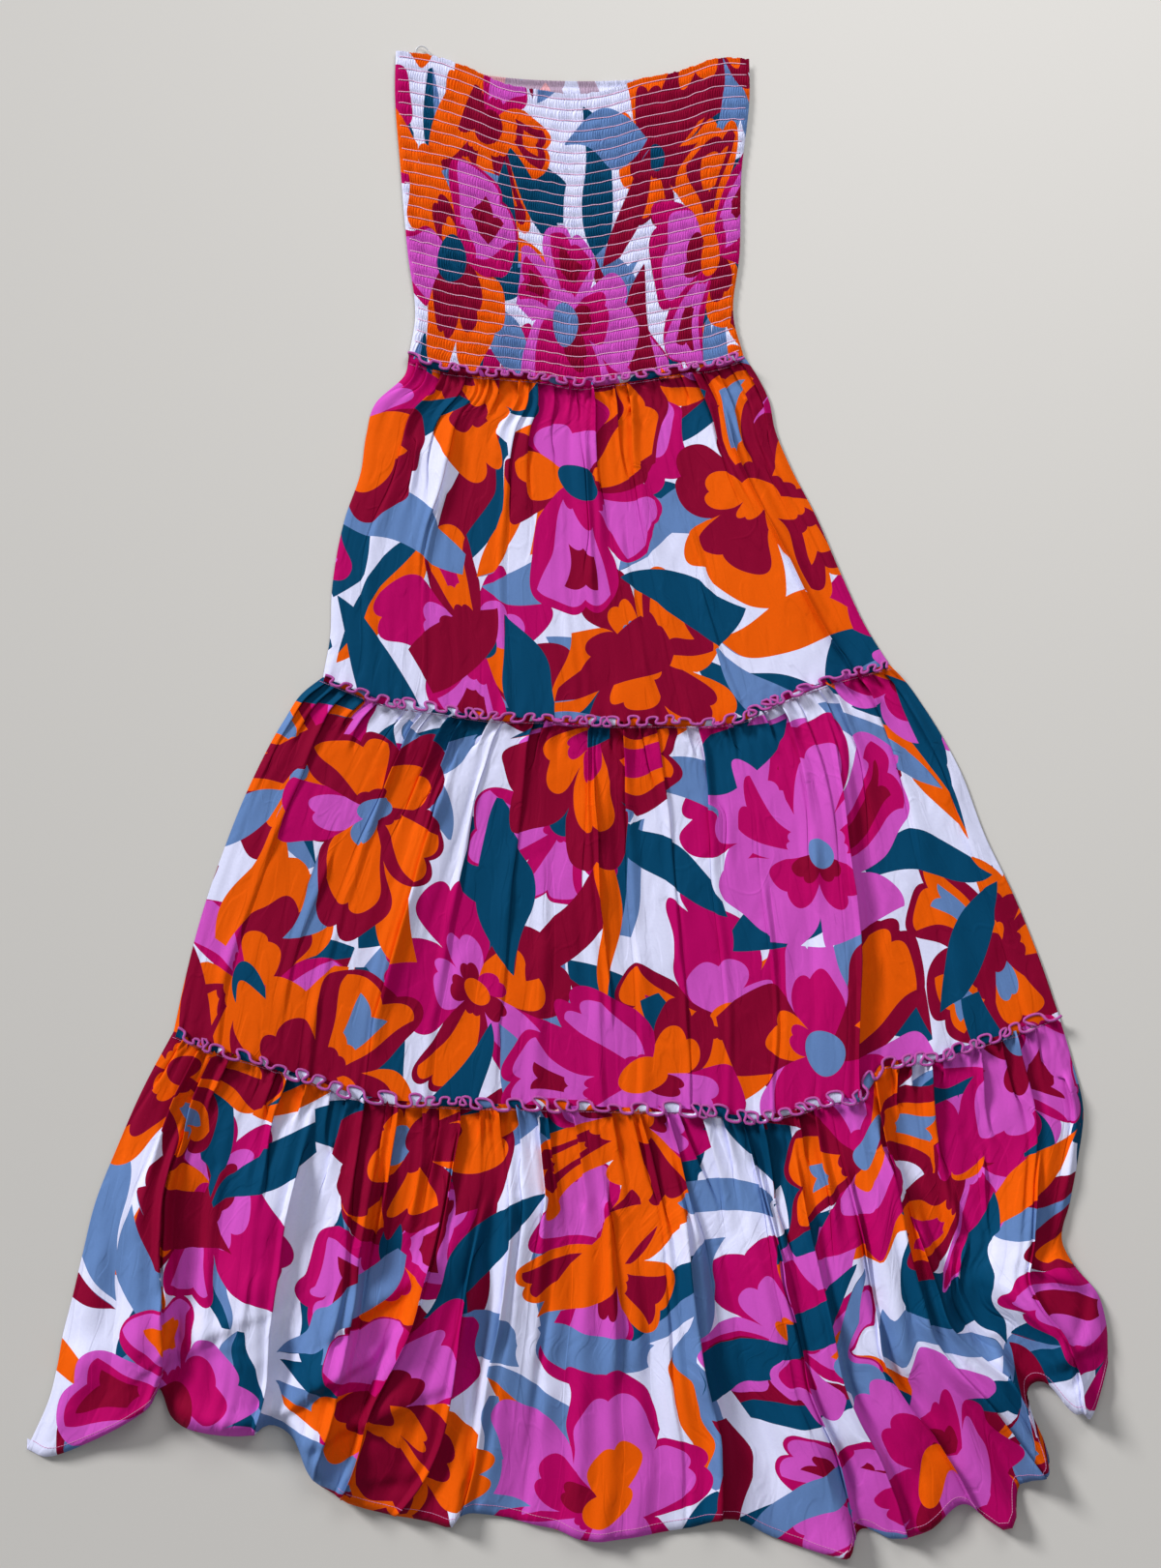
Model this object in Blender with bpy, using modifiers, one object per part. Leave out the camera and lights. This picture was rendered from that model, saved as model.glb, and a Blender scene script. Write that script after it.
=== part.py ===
"""A strapless maxi dress, laid flat on its back: shirred bodice, three gathered tiers and wavy frills.

Metres, +Z up. +Y points to the neckline, +X to the right of someone who looks down at the front, and
z = 0 is the underside of the back panels. Lengths in the constants and tables are millimetres and are
turned into metres where a point is placed. The fraction s runs across a panel from its left edge (0) to
its right edge (1), and t runs down it from its upper edge (0) to its lower edge (1).
"""

import math

import bmesh
import bpy
from mathutils import Vector

MM = 0.001

# Driving dimensions, mm
GAP = 0.3                   # between pieces that are sewn together or lie on each other
BACK_THICK = 1.5            # back panels of the skirt, flat on the floor
CLOTH_THICK = 1.4           # front panels of the skirt
BODICE_BACK_THICK = 2.5     # shirred cloth is thicker
BODICE_WALL = 1.6           # front of the bodice, from its plain inside to the grooves
PUFF_TALL = 1.5             # puffs of the shirring above the grooves
ELASTIC_ROWS = 27
FRONT_BASE = BACK_THICK + GAP + CLOTH_THICK     # top of a front panel that lies flat
EDGE_INSET = 4.0            # a back panel ends this far inside the front one

FRILL_TALL = 8.5            # seam allowance left standing on the outside
FRILL_THICK = 1.2
FRILL_LIFT = 0.9            # middle of the frill's foot above the panels
FRILL_LEAN = math.radians(48)
FRILL_STATIONS = 4          # sections in each wave
BACK_FRILL_HALF = 4.0       # the back's frills are pressed flat between the panels

GATHER_START = 14.0         # the gathers reach their full height this far below the seam
LOOP_THICK = 1.5            # hanger loop
LOOP_WIDE = 12.0
LOOP_TALL = 7.0

# Seams and edges: s, x, y, rise of the front panel above its base
NECK = [
    (0.0, -151, 659, 0), (0.1, -120, 655, 0), (0.2, -89, 645, 0), (0.3, -58, 631, 0), (0.4, -28, 625, 0),
    (0.5, 3, 621, 0), (0.6, 36, 625, 0), (0.7, 66, 635, 0), (0.8, 97, 641, 0), (0.9, 129, 652, 0),
    (1.0, 159, 652, 0)]
BACK_NECK = [
    (0.0, -149, 655, 0), (0.25, -72, 638, 0), (0.5, 5, 633, 0), (0.75, 82, 636, 0), (1.0, 157, 648, 0)]
WAIST = [
    (0.0, -140, 390, 1.0), (0.1, -110, 381, 1.5), (0.2, -80, 377, 1.5), (0.3, -52, 375, 1.5),
    (0.4, -22, 372, 1.5), (0.5, 8, 367, 1.5), (0.6, 38, 370, 1.5), (0.7, 68, 374, 1.5),
    (0.8, 98, 379, 1.5), (0.9, 127, 383, 1.5), (1.0, 154, 392, 1.0)]
UPPER_SEAM = [
    (0.0, -215, 110, 0), (0.05, -190, 100, 1), (0.1, -165, 90, 2), (0.2, -117, 82, 1), (0.3, -66, 75, 1),
    (0.4, -16, 74, 2), (0.5, 33, 71, 1), (0.6, 83, 71, 1), (0.7, 132, 71, 1), (0.75, 156, 76, 2),
    (0.8, 182, 89, 3), (0.9, 232, 108, 2), (1.0, 282, 121, 0)]
LOWER_SEAM = [
    (0.0, -346, -201, 0), (0.05, -308, -216, 2), (0.1, -268, -227, 3), (0.15, -230, -240, 2),
    (0.2, -191, -254, 3), (0.25, -152, -261, 2), (0.3, -112, -263, 1), (0.4, -36, -265, 2),
    (0.5, 42, -267, 2), (0.6, 120, -270, 2), (0.65, 159, -275, 3), (0.7, 198, -269, 5),
    (0.75, 241, -258, 8), (0.7625, 253, -258, 9), (0.775, 263, -245, 6), (0.7875, 274, -230, 2),
    (0.8, 285, -227, 1), (0.85, 318, -223, 2), (0.9, 353, -212, 2), (0.95, 391, -200, 2),
    (1.0, 430, -184, 0)]
HEM = [
    (0.0000, -475, -568, 0), (0.0250, -452, -573, 3), (0.0500, -405, -553, 10), (0.0750, -365, -527, 11),
    (0.0875, -358, -514, 1), (0.1000, -348, -538, 9), (0.1250, -304, -554, 17), (0.1375, -276, -554, 8),
    (0.1500, -266, -547, 1), (0.1750, -242, -556, 9), (0.2000, -223, -594, 13), (0.2125, -206, -605, 7),
    (0.2500, -180, -618, 1), (0.2875, -123, -630, 6), (0.3250, -99, -632, 11), (0.3375, -94, -625, 1),
    (0.3875, -20, -635, 5), (0.4500, 28, -647, 13), (0.5000, 105, -636, 2), (0.5375, 148, -628, 11),
    (0.5625, 182, -645, 2), (0.5875, 230, -659, 9), (0.6000, 246, -660, 15), (0.6125, 253, -642, 1),
    (0.6500, 285, -645, 5), (0.6875, 316, -637, 13), (0.7250, 350, -615, 2), (0.7500, 377, -636, 9),
    (0.7750, 392, -627, 15), (0.7875, 394, -605, 1), (0.8125, 404, -594, 8), (0.8375, 420, -588, 13),
    (0.8625, 417, -569, 7), (0.8875, 403, -535, 12), (0.9000, 402, -519, 2), (0.9250, 421, -510, 8),
    (0.9375, 437, -529, 13), (0.9625, 450, -534, 16), (0.9875, 462, -531, 9), (1.0000, 474, -492, 3)]
BACK_HEM = [
    (0.0, -462, -558, 0), (0.1, -346, -506, 0), (0.2, -228, -546, 0), (0.3, -120, -612, 0),
    (0.4, -20, -622, 0), (0.5, 80, -625, 0), (0.6, 180, -625, 0), (0.7, 290, -615, 0),
    (0.8, 372, -590, 0), (0.9, 394, -512, 0), (1.0, 466, -488, 0)]

# Side edges: t, and how far the left and the right edge lie to the right of a straight line
BODICE_SIDES = [(0, 0, 0), (0.1, -2, 1), (0.4, 0, -5), (0.65, 3, -5), (0.88, 7, -9), (1, 0, 0)]
UPPER_SIDES = [
    (0, 0, 0), (0.05, 1, 3), (0.14, -18, 4), (0.24, -19, -3), (0.36, -15, -5), (0.5, -18, -3),
    (0.72, -13, -5), (0.88, -3, -5), (1, 0, 0)]
MIDDLE_SIDES = [
    (0, 0, 0), (0.04, -11, 6), (0.12, -18, 12), (0.29, -24, 17), (0.5, -23, 11), (0.66, -19, 11),
    (0.86, -9, 6), (1, 0, 0)]
LOWER_SIDES = [
    (0, 0, 0), (0.13, -9, 6), (0.28, -14, 10), (0.41, -16, 0), (0.54, -11, -13), (0.66, -6, -25),
    (0.72, -4, -18), (0.8, 1, -1), (0.87, 4, 3), (1, 0, 0)]

# How far a line of constant s is drawn to the right halfway down the lower tier
HEM_LEAN = [(0, 0), (0.62, 0), (0.8625, -34), (0.9125, -34), (0.96, -8), (1, 0)]

# Long folds: s and t where the crest starts and ends, height, reach to the left and to the right
UPPER_FOLDS = [
    (0.20, 0.02, 0.16, 0.55, 4.0, 16, 12), (0.52, 0.02, 0.50, 0.60, 3.5, 12, 18),
    (0.86, 0.05, 0.93, 0.95, 5.0, 30, 14)]
MIDDLE_FOLDS = [
    (0.27, 0.02, 0.22, 0.80, 4.5, 16, 24), (0.48, 0.02, 0.50, 0.70, 4.0, 22, 14),
    (0.86, 0.05, 0.765, 0.99, 9.0, 46, 10)]
LOWER_FOLDS = [
    (0.125, 0.03, 0.135, 1.0, 9.0, 9, 46), (0.235, 0.10, 0.205, 1.0, 9.0, 26, 30),
    (0.325, 0.30, 0.245, 1.0, 14.0, 20, 42), (0.325, 0.50, 0.325, 1.0, 8.0, 40, 9),
    (0.610, 0.04, 0.605, 1.0, 12.0, 38, 14), (0.672, 0.04, 0.685, 1.0, 11.0, 34, 22),
    (0.750, 0.02, 0.765, 1.0, 12.0, 30, 20), (0.775, 0.03, 0.893, 1.0, 13.0, 24, 20)]

MAGENTA = (0.55, 0.01, 0.16, 1.0)
LILAC = (0.73, 0.69, 0.92, 1.0)
ORANGE = (0.83, 0.13, 0.01, 1.0)
TEAL = (0.01, 0.07, 0.17, 1.0)
MAUVE = (0.28, 0.07, 0.29, 1.0)
CLEAR_TAPE = (0.80, 0.80, 0.82, 1.0)

for leftover in list(bpy.data.objects):
    bpy.data.objects.remove(leftover, do_unlink=True)
DRESS = bpy.data.collections.new("maxi_dress")
bpy.context.scene.collection.children.link(DRESS)


def add_to_dress(name, data, colour, roughness=0.85):
    """One named piece with a material of its own."""
    piece = bpy.data.objects.new(name, data)
    DRESS.objects.link(piece)
    material = bpy.data.materials.new(name + "_cloth")
    material.use_nodes = True
    shader = material.node_tree.nodes["Principled BSDF"]
    shader.inputs["Base Color"].default_value = colour
    shader.inputs["Roughness"].default_value = roughness
    piece.data.materials.append(material)
    return piece


def between(table, at):
    """The columns after the first of a table, read by straight lines at a value of its first column."""
    for low, high in zip(table, table[1:]):
        if at <= high[0]:
            break
    share = (at - low[0]) / (high[0] - low[0])
    return [a + (b - a) * share for a, b in zip(low[1:], high[1:])]


def mix(a, b, share):
    return a + (b - a) * share


def smooth(share):
    """0 to 1 with a soft start and end."""
    share = min(max(share, 0.0), 1.0)
    return share * share * (3.0 - 2.0 * share)


def panel_point(top, bottom, sides, s, t, lean=((0, 0), (1, 0))):
    """x, y and rise of a point of the panel between two seams and two side edges."""
    top_x, top_y, top_rise = between(top, s)
    bottom_x, bottom_y, bottom_rise = between(bottom, s)
    left, right = between(sides, t)
    drawn = 4.0 * t * (1.0 - t) * between(lean, s)[0]
    x = mix(top_x, bottom_x, t) + mix(left, right, s) + drawn
    y = mix(top_y, bottom_y, t)
    return x, y, mix(top_rise, bottom_rise, t * t)


def moved(table, step_y):
    """The same seam, moved up the dress."""
    return [(s, x, y + step_y, rise) for s, x, y, rise in table]


def width_and_length(top, bottom, s, t):
    """Width of the panel at t and its length at s."""
    left, right = (mix(top[i][1], bottom[i][1], t) for i in (0, -1))
    return right - left, between(top, s)[1] - between(bottom, s)[1]


def gather_height(count, tall, s, below):
    """Height of the gathers: each is a crest with its own height and length, and fades down the panel."""
    place = min(s * count, count - 1e-6)
    gather = int(place)
    crest = math.sin(math.pi * (place - gather)) ** 2
    own_tall = tall * (0.45 + 0.55 * abs(math.sin(2.4 * gather + 0.7)))
    own_reach = 45.0 + 75.0 * math.sin(1.7 * gather + 1.0) ** 2
    return own_tall * crest * smooth(below / GATHER_START) * math.exp(-((below / own_reach) ** 2))


def fold_height(folds, s, t, width):
    """Height of the tallest long fold at a point; one that ends at the hem keeps its height there."""
    tallest = 0.0
    for s_from, t_from, s_to, t_to, tall, left, right in folds:
        along = (t - t_from) / (t_to - t_from)
        if not 0.0 <= along <= 1.0:
            continue
        away = (s - mix(s_from, s_to, along)) * width
        near = max(0.0, 1.0 - (away / (left if away < 0.0 else right)) ** 2)
        end = 1.0 if t_to == 1.0 else smooth((1.0 - along) / 0.35)
        tallest = max(tallest, tall * near * near * smooth(along / 0.35) * end)
    return tallest


def grid_mesh(columns, rows, place):
    """An open sheet of cloth: a grid whose vertices are moved to place(s, t)."""
    sheet = bmesh.new()
    bmesh.ops.create_grid(sheet, x_segments=columns, y_segments=rows, size=1.0)
    for vert in sheet.verts:
        s = (vert.co.x + 1.0) / 2.0
        t = (1.0 - vert.co.y) / 2.0
        vert.co = place(s, t)
    return sheet


def extruded_down(sheet, thick):
    """Close an open sheet into a wall by extruding it straight down."""
    copied = bmesh.ops.extrude_face_region(sheet, geom=sheet.faces[:])["geom"]
    moved_verts = [item for item in copied if isinstance(item, bmesh.types.BMVert)]
    bmesh.ops.translate(sheet, verts=moved_verts, vec=(0, 0, -thick * MM))
    bmesh.ops.recalc_face_normals(sheet, faces=sheet.faces[:])


def finish(sheet, name, colour):
    mesh = bpy.data.meshes.new(name)
    sheet.to_mesh(mesh)
    sheet.free()
    mesh.shade_smooth()
    mesh.set_sharp_from_angle(angle=math.radians(80))
    return add_to_dress(name, mesh, colour)


def skirt_front(name, top, bottom, sides, folds, columns, rows, gather_tall, colour, lean=((0, 0), (1, 0))):
    """A front tier: a wall that follows its gathers and folds, with one gather every two columns."""

    def place(s, t):
        t = t ** 1.5
        x, y, rise = panel_point(top, bottom, sides, s, t, lean)
        width, length = width_and_length(top, bottom, s, t)
        height = gather_height(columns // 2, gather_tall, s, t * length)
        height += fold_height(folds, s, t, width)
        return Vector((x, y, FRONT_BASE + rise + height)) * MM

    sheet = grid_mesh(columns, rows, place)
    extruded_down(sheet, CLOTH_THICK)
    return finish(sheet, name, colour)


def flat_back(name, top, bottom, sides, thick, columns, rows, colour):
    """A back panel or a pressed frill of the back, flat on the floor."""

    def place(s, t):
        x, y, _ = panel_point(top, bottom, sides, s, t)
        return Vector((x + EDGE_INSET * (1.0 - 2.0 * s), y, thick)) * MM

    sheet = grid_mesh(columns, rows, place)
    extruded_down(sheet, thick)
    return finish(sheet, name, colour)


def bodice_front(columns=30):
    """The shirred front: a groove along each elastic thread and puffs between, over a plain inside."""
    inside = BODICE_BACK_THICK + GAP
    rows = 2 * ELASTIC_ROWS
    bottom = moved(WAIST, GAP / 2)

    def place(s, t):
        x, y, _ = panel_point(NECK, bottom, BODICE_SIDES, s, t)
        row, column = round(t * rows), round(s * columns)
        puffed = row % 2 and 0 < column < columns
        puff = PUFF_TALL * (0.62 + 0.38 * (-1) ** (column + row // 2)) if puffed else 0.0
        return Vector((x, y, inside + BODICE_WALL + puff)) * MM

    sheet = grid_mesh(columns, rows, place)
    rim = [edge for edge in sheet.edges if edge.is_boundary]
    lowered = bmesh.ops.extrude_edge_only(sheet, edges=rim)["geom"]
    for vert in (item for item in lowered if isinstance(item, bmesh.types.BMVert)):
        vert.co.z = inside * MM
    loop = [item for item in lowered if isinstance(item, bmesh.types.BMEdge) and item.is_boundary]
    bmesh.ops.edgeloop_fill(sheet, edges=loop)
    bmesh.ops.recalc_face_normals(sheet, faces=sheet.faces[:])
    return finish(sheet, "bodice_front", MAGENTA)


def standing_frill(name, seam, waves):
    """A seam allowance left on the outside: a strip that leans up and down the dress in waves."""

    def place(s, t):
        x, y, rise = between(seam, s)
        ahead, behind = between(seam, min(s + 0.01, 1.0)), between(seam, max(s - 0.01, 0.0))
        along = Vector((ahead[0] - behind[0], ahead[1] - behind[1], 0.0)).normalized()
        across = Vector((-along.y, along.x, 0.0))
        phase = 2.0 * math.pi * waves * s
        lean = FRILL_LEAN * math.sin(phase) * (0.8 + 0.2 * math.sin(0.37 * phase + 1.0))
        foot = Vector((x, y, FRONT_BASE + rise + FRILL_LIFT))
        up = Vector((0.0, 0.0, 1.0))
        tip = foot + FRILL_TALL * (across * math.sin(lean) + up * math.cos(lean))
        return foot.lerp(tip, 1.0 - t) * MM

    strip = finish(grid_mesh(FRILL_STATIONS * waves, 1, place), name, MAUVE)
    wall = strip.modifiers.new("wall", 'SOLIDIFY')
    wall.thickness = FRILL_THICK * MM
    wall.offset = 0.0
    return strip


def hanger_loop():
    """A loop of clear tape that stands out of the front's top edge near the side seam."""
    foot_s = 0.075
    edge_x, edge_y, _ = between(NECK, foot_s)
    slant = (NECK[1][2] - NECK[0][2]) / (NECK[1][1] - NECK[0][1])
    middle = Vector((edge_x, edge_y + GAP, BODICE_BACK_THICK + GAP + BODICE_WALL / 2))
    curve = bpy.data.curves.new("hanger_loop", 'CURVE')
    curve.dimensions = '3D'
    curve.bevel_depth = LOOP_THICK / 2 * MM
    curve.bevel_resolution = 2
    curve.use_fill_caps = True
    spline = curve.splines.new('POLY')
    steps = 10
    spline.points.add(steps)
    for step in range(steps + 1):
        turn = math.pi * step / steps
        across = -LOOP_WIDE / 2 * math.cos(turn)
        point = middle + Vector((across, slant * across + LOOP_TALL * math.sin(turn), 0.0))
        spline.points[step].co = (*(point * MM), 1.0)
    return add_to_dress("hanger_loop", curve, CLEAR_TAPE, roughness=0.3)


# Bodice
bodice_front()
flat_back("bodice_back", BACK_NECK, moved(WAIST, BACK_FRILL_HALF + GAP / 2), BODICE_SIDES,
          BODICE_BACK_THICK, 20, 5, ORANGE)
hanger_loop()

# Tiers, from the waist down: front and back of each
skirt_front("upper_tier_front", moved(WAIST, -GAP / 2), moved(UPPER_SEAM, GAP / 2), UPPER_SIDES,
            UPPER_FOLDS, 40, 8, 4.5, LILAC)
skirt_front("middle_tier_front", moved(UPPER_SEAM, -GAP / 2), moved(LOWER_SEAM, GAP / 2), MIDDLE_SIDES,
            MIDDLE_FOLDS, 80, 8, 5.5, ORANGE)
skirt_front("lower_tier_front", moved(LOWER_SEAM, -GAP / 2), HEM, LOWER_SIDES,
            LOWER_FOLDS, 80, 8, 6.5, MAGENTA, lean=HEM_LEAN)
BACKS = [
    ("upper_tier_back", WAIST, UPPER_SEAM, UPPER_SIDES, TEAL),
    ("middle_tier_back", UPPER_SEAM, LOWER_SEAM, MIDDLE_SIDES, LILAC)]
for name, top, bottom, sides, colour in BACKS:
    flat_back(name, moved(top, -BACK_FRILL_HALF - GAP / 2), moved(bottom, BACK_FRILL_HALF + GAP / 2),
              sides, BACK_THICK, 20, 5, colour)
flat_back("lower_tier_back", moved(LOWER_SEAM, -BACK_FRILL_HALF - GAP / 2), BACK_HEM, LOWER_SIDES,
          BACK_THICK, 20, 5, TEAL)

# Frills along the three seams: name, seam, waves
FRILLS = [
    ("waist_frill", WAIST, 17), ("upper_seam_frill", UPPER_SEAM, 28), ("lower_seam_frill", LOWER_SEAM, 40)]
for name, seam, waves in FRILLS:
    standing_frill(name, seam, waves)
    half = BACK_FRILL_HALF - GAP / 2
    flat_back(name + "_back", moved(seam, half), moved(seam, -half), [(0, 0, 0), (1, 0, 0)],
              BACK_THICK, 20, 1, MAUVE)
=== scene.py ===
"""Looks of a strapless maxi dress that lies flat on its back.

Tables and sizes are in millimetres. The fraction s runs across a panel from its left edge to its right
edge, and t runs down it from its upper edge to its lower edge. The cloth's UV map is in metres of flat
cloth, so the print is squeezed where the cloth is gathered and hidden where it is folded under.
"""
import math
from collections import namedtuple

import bmesh
import bpy
import numpy as np
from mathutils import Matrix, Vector


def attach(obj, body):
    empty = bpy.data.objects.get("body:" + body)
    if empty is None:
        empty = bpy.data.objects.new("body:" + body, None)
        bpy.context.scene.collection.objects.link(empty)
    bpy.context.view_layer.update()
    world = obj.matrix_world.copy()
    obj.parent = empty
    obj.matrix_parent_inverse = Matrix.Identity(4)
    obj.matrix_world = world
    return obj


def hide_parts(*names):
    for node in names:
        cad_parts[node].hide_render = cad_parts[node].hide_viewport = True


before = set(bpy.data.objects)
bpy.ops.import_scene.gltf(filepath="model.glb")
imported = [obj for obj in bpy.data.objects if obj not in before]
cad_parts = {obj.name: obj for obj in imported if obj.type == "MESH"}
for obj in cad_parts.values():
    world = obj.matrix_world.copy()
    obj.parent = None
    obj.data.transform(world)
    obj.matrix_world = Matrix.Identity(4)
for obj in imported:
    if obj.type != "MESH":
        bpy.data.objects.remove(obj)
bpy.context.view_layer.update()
MM = 0.001


# ---- Floor, light and camera ----
# A plain pale floor under the dress, broad window light from one side, a lamp overhead and a pale sky.
# The camera hangs straight over the dress, with the neckline at the top of its frame.

VIEW_MIDDLE = (0.011, 0.016)
VIEW_TALL = 1.378
CAMERA_HEIGHT = 2.1
SENSOR = 36.0
FLOOR_SIZE = 60.0
FLOOR_LOW = 0.0004           # the floor lies a hair below the cloth


def in_scene(name, data):
    """A new object in the scene, made of a mesh, a lamp or a camera."""
    thing = bpy.data.objects.new(name, data)
    bpy.context.scene.collection.objects.link(thing)
    return thing


def new_material(name):
    """A material with nodes, and its main shader."""
    material = bpy.data.materials.new(name)
    material.use_nodes = True
    return material, material.node_tree.nodes["Principled BSDF"]


def feed(node, inputs):
    """Feed a shader node's inputs with values or other nodes' sockets."""
    for key, value in inputs.items():
        if isinstance(value, bpy.types.NodeSocket):
            node.id_data.links.new(value, node.inputs[key])
        else:
            node.inputs[key].default_value = value


def soft_light(name, kind, place, strength):
    """A light that looks from its place at the middle of the dress."""
    lamp = bpy.data.lights.new(name, kind)
    lamp.energy = strength
    light = in_scene(name, lamp)
    light.location = place
    light.rotation_euler = (-Vector(place)).to_track_quat('-Z', 'Y').to_euler()
    return lamp


bpy.ops.mesh.primitive_plane_add(size=FLOOR_SIZE, location=(0.0, 0.0, -FLOOR_LOW))
floor = bpy.context.object
floor.name = "floor"
floor_paint, floor_shader = new_material("pale_floor")
feed(floor_shader, {"Base Color": (0.66, 0.64, 0.61, 1.0), "Roughness": 0.6})
floor.data.materials.append(floor_paint)

window_light = soft_light("window_light", 'SUN', (-2.1, 2.0, 1.5), 2.95)
window_light.angle = math.radians(15.0)
room_light = soft_light("room_light", 'AREA', (0.5, 1.3, 1.3), 12.0)
room_light.size = 0.9
sky = bpy.data.worlds.new("even_sky")
sky.use_nodes = True
feed(sky.node_tree.nodes["Background"], {"Color": (0.95, 0.97, 1.0, 1.0), "Strength": 0.26})
bpy.context.scene.world = sky
bpy.context.scene.view_settings.view_transform = 'Standard'

camera_data = bpy.data.cameras.new("overhead_camera")
camera_data.sensor_width = SENSOR
camera_data.lens = SENSOR * CAMERA_HEIGHT / VIEW_TALL
camera = in_scene("overhead_camera", camera_data)
camera.location = (*VIEW_MIDDLE, CAMERA_HEIGHT)
bpy.context.scene.camera = camera


# ---- Bodice front ----
# Smooth printed viscose, shirred with 27 rows of elastic thread that draw it in to about half of its
# cut width. Each row lies in a groove, and the cloth stands up in fine slanting puckers between them.

NECK = [
    (0.0, -151, 659, 0), (0.1, -120, 655, 0), (0.2, -89, 645, 0), (0.3, -58, 631, 0), (0.4, -28, 625, 0),
    (0.5, 3, 621, 0), (0.6, 36, 625, 0), (0.7, 66, 635, 0), (0.8, 97, 641, 0), (0.9, 129, 652, 0),
    (1.0, 159, 652, 0)]
WAIST = [
    (0.0, -140, 390, 1.0), (0.1, -110, 381, 1.5), (0.2, -80, 377, 1.5), (0.3, -52, 375, 1.5),
    (0.4, -22, 372, 1.5), (0.5, 8, 367, 1.5), (0.6, 38, 370, 1.5), (0.7, 68, 374, 1.5),
    (0.8, 98, 379, 1.5), (0.9, 127, 383, 1.5), (1.0, 154, 392, 1.0)]
BODICE_SIDES = [(0, 0, 0), (0.1, -2, 1), (0.4, 0, -5), (0.65, 3, -5), (0.88, 7, -9), (1, 0, 0)]
ELASTIC_ROWS = 27
PUCKERS = 148                # across the front
BODICE_CUT = (0.58, 0.275)   # metres of flat cloth
GROOVE_Z = 4.0
SIDE_FADE = 2.5              # how soon the bulge of a panel's side edge dies out towards its middle
SIDE_ROUND = 7.0             # how soon the front comes down to its side edge
SIDE_LOW = 2.6
PUFF_TALL = 0.95
PUCKER_TALL = 1.75
BODICE_SWELL = 0.8           # broad unevenness of the whole front
NOISE_CELLS = 61


def curve_through(table, at):
    """The columns after the first of a table, read at places along a smooth curve through its rows."""
    rows = np.array(table, dtype=float)
    knots, values = rows[:, 0], rows[:, 1:]
    at = np.clip(np.asarray(at, dtype=float), knots[0], knots[-1])
    slopes = np.gradient(values, knots, axis=0)
    low = np.clip(np.searchsorted(knots, at, side="right") - 1, 0, len(knots) - 2)
    step = (knots[low + 1] - knots[low])[..., None]
    f = (at - knots[low])[..., None] / step
    start = (1 + 2 * f) * (1 - f) ** 2 * values[low] + f * (1 - f) ** 2 * step * slopes[low]
    end = f * f * (3 - 2 * f) * values[low + 1] + f * f * (f - 1) * step * slopes[low + 1]
    return np.moveaxis(start + end, -1, 0)


def smooth(share):
    """0 to 1 with a soft start and end."""
    share = np.clip(share, 0.0, 1.0)
    return share * share * (3.0 - 2.0 * share)


def soft_noise(a, b, seed):
    """Smooth noise from -1 to 1 over two coordinates, with about one bump a unit."""
    table = np.random.default_rng(seed).uniform(-1.0, 1.0, (NOISE_CELLS, NOISE_CELLS))
    cell_a, cell_b = np.floor(a).astype(int), np.floor(b).astype(int)
    part_a, part_b = smooth(a - cell_a), smooth(b - cell_b)
    row_a, next_a, row_b, next_b = (cell % NOISE_CELLS for cell in (cell_a, cell_a + 1, cell_b, cell_b + 1))
    near = table[row_a, row_b] * (1 - part_a) + table[next_a, row_b] * part_a
    far = table[row_a, next_b] * (1 - part_a) + table[next_a, next_b] * part_a
    return near * (1 - part_b) + far * part_b


def blurred(line, width):
    """A line of values, each blended with its neighbours over some width."""
    share = np.hanning(width) / np.hanning(width).sum()
    return np.convolve(np.pad(line, width // 2, mode="edge"), share, mode="valid")


def running_total(steps, axis=0):
    """How far each place lies from the first one, from the steps between them."""
    return np.cumsum(np.insert(steps, 0, 0.0, axis=axis), axis=axis)


def distances(path):
    """How far along a path each of its points lies."""
    return running_total(np.linalg.norm(np.diff(path, axis=0), axis=1))


def panel_points(top, bottom, sides, s, t, lean=((0, 0), (0.5, 0), (1, 0))):
    """x, y and rise, in mm, of points of the panel between two seams and two side edges."""
    top_x, top_y, top_rise = curve_through(top, s)
    bottom_x, bottom_y, bottom_rise = curve_through(bottom, s)
    left, right = curve_through(sides, t)
    x = top_x + (bottom_x - top_x) * t + left * (1.0 - s) ** SIDE_FADE + right * s ** SIDE_FADE
    x = x + 4.0 * t * (1.0 - t) * curve_through(lean, s)[0]
    y = top_y + (bottom_y - top_y) * t
    return x, y, np.maximum(top_rise + (bottom_rise - top_rise) * t * t, 0.0)


def edge_drop(z, inside, reach, low):
    """Bring a height down to low at an edge in a quarter round, inside mm away from that edge."""
    share = np.clip(inside / reach, 0.0, 1.0)
    return low + (z - low) * np.sqrt(1.0 - (1.0 - share) ** 2)


def cloth_grid(x, y, z, flat_x, flat_y):
    """A bmesh grid whose vertices take their places (mm) and UVs (m) from arrays of rows by columns."""
    rows, columns = x.shape
    sheet = bmesh.new()
    bmesh.ops.create_grid(sheet, x_segments=columns - 1, y_segments=rows - 1, size=1.0)
    layer = sheet.loops.layers.uv.new("cloth")
    flat = {}
    for vert in sheet.verts:
        column = round((vert.co.x + 1.0) / 2.0 * (columns - 1))
        row = round((1.0 - vert.co.y) / 2.0 * (rows - 1))
        flat[vert] = (flat_x[row, column], flat_y[row, column])
        vert.co = (x[row, column] * MM, y[row, column] * MM, z[row, column] * MM)
    for face in sheet.faces:
        for loop in face.loops:
            loop[layer].uv = flat[loop.vert]
    return sheet


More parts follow.
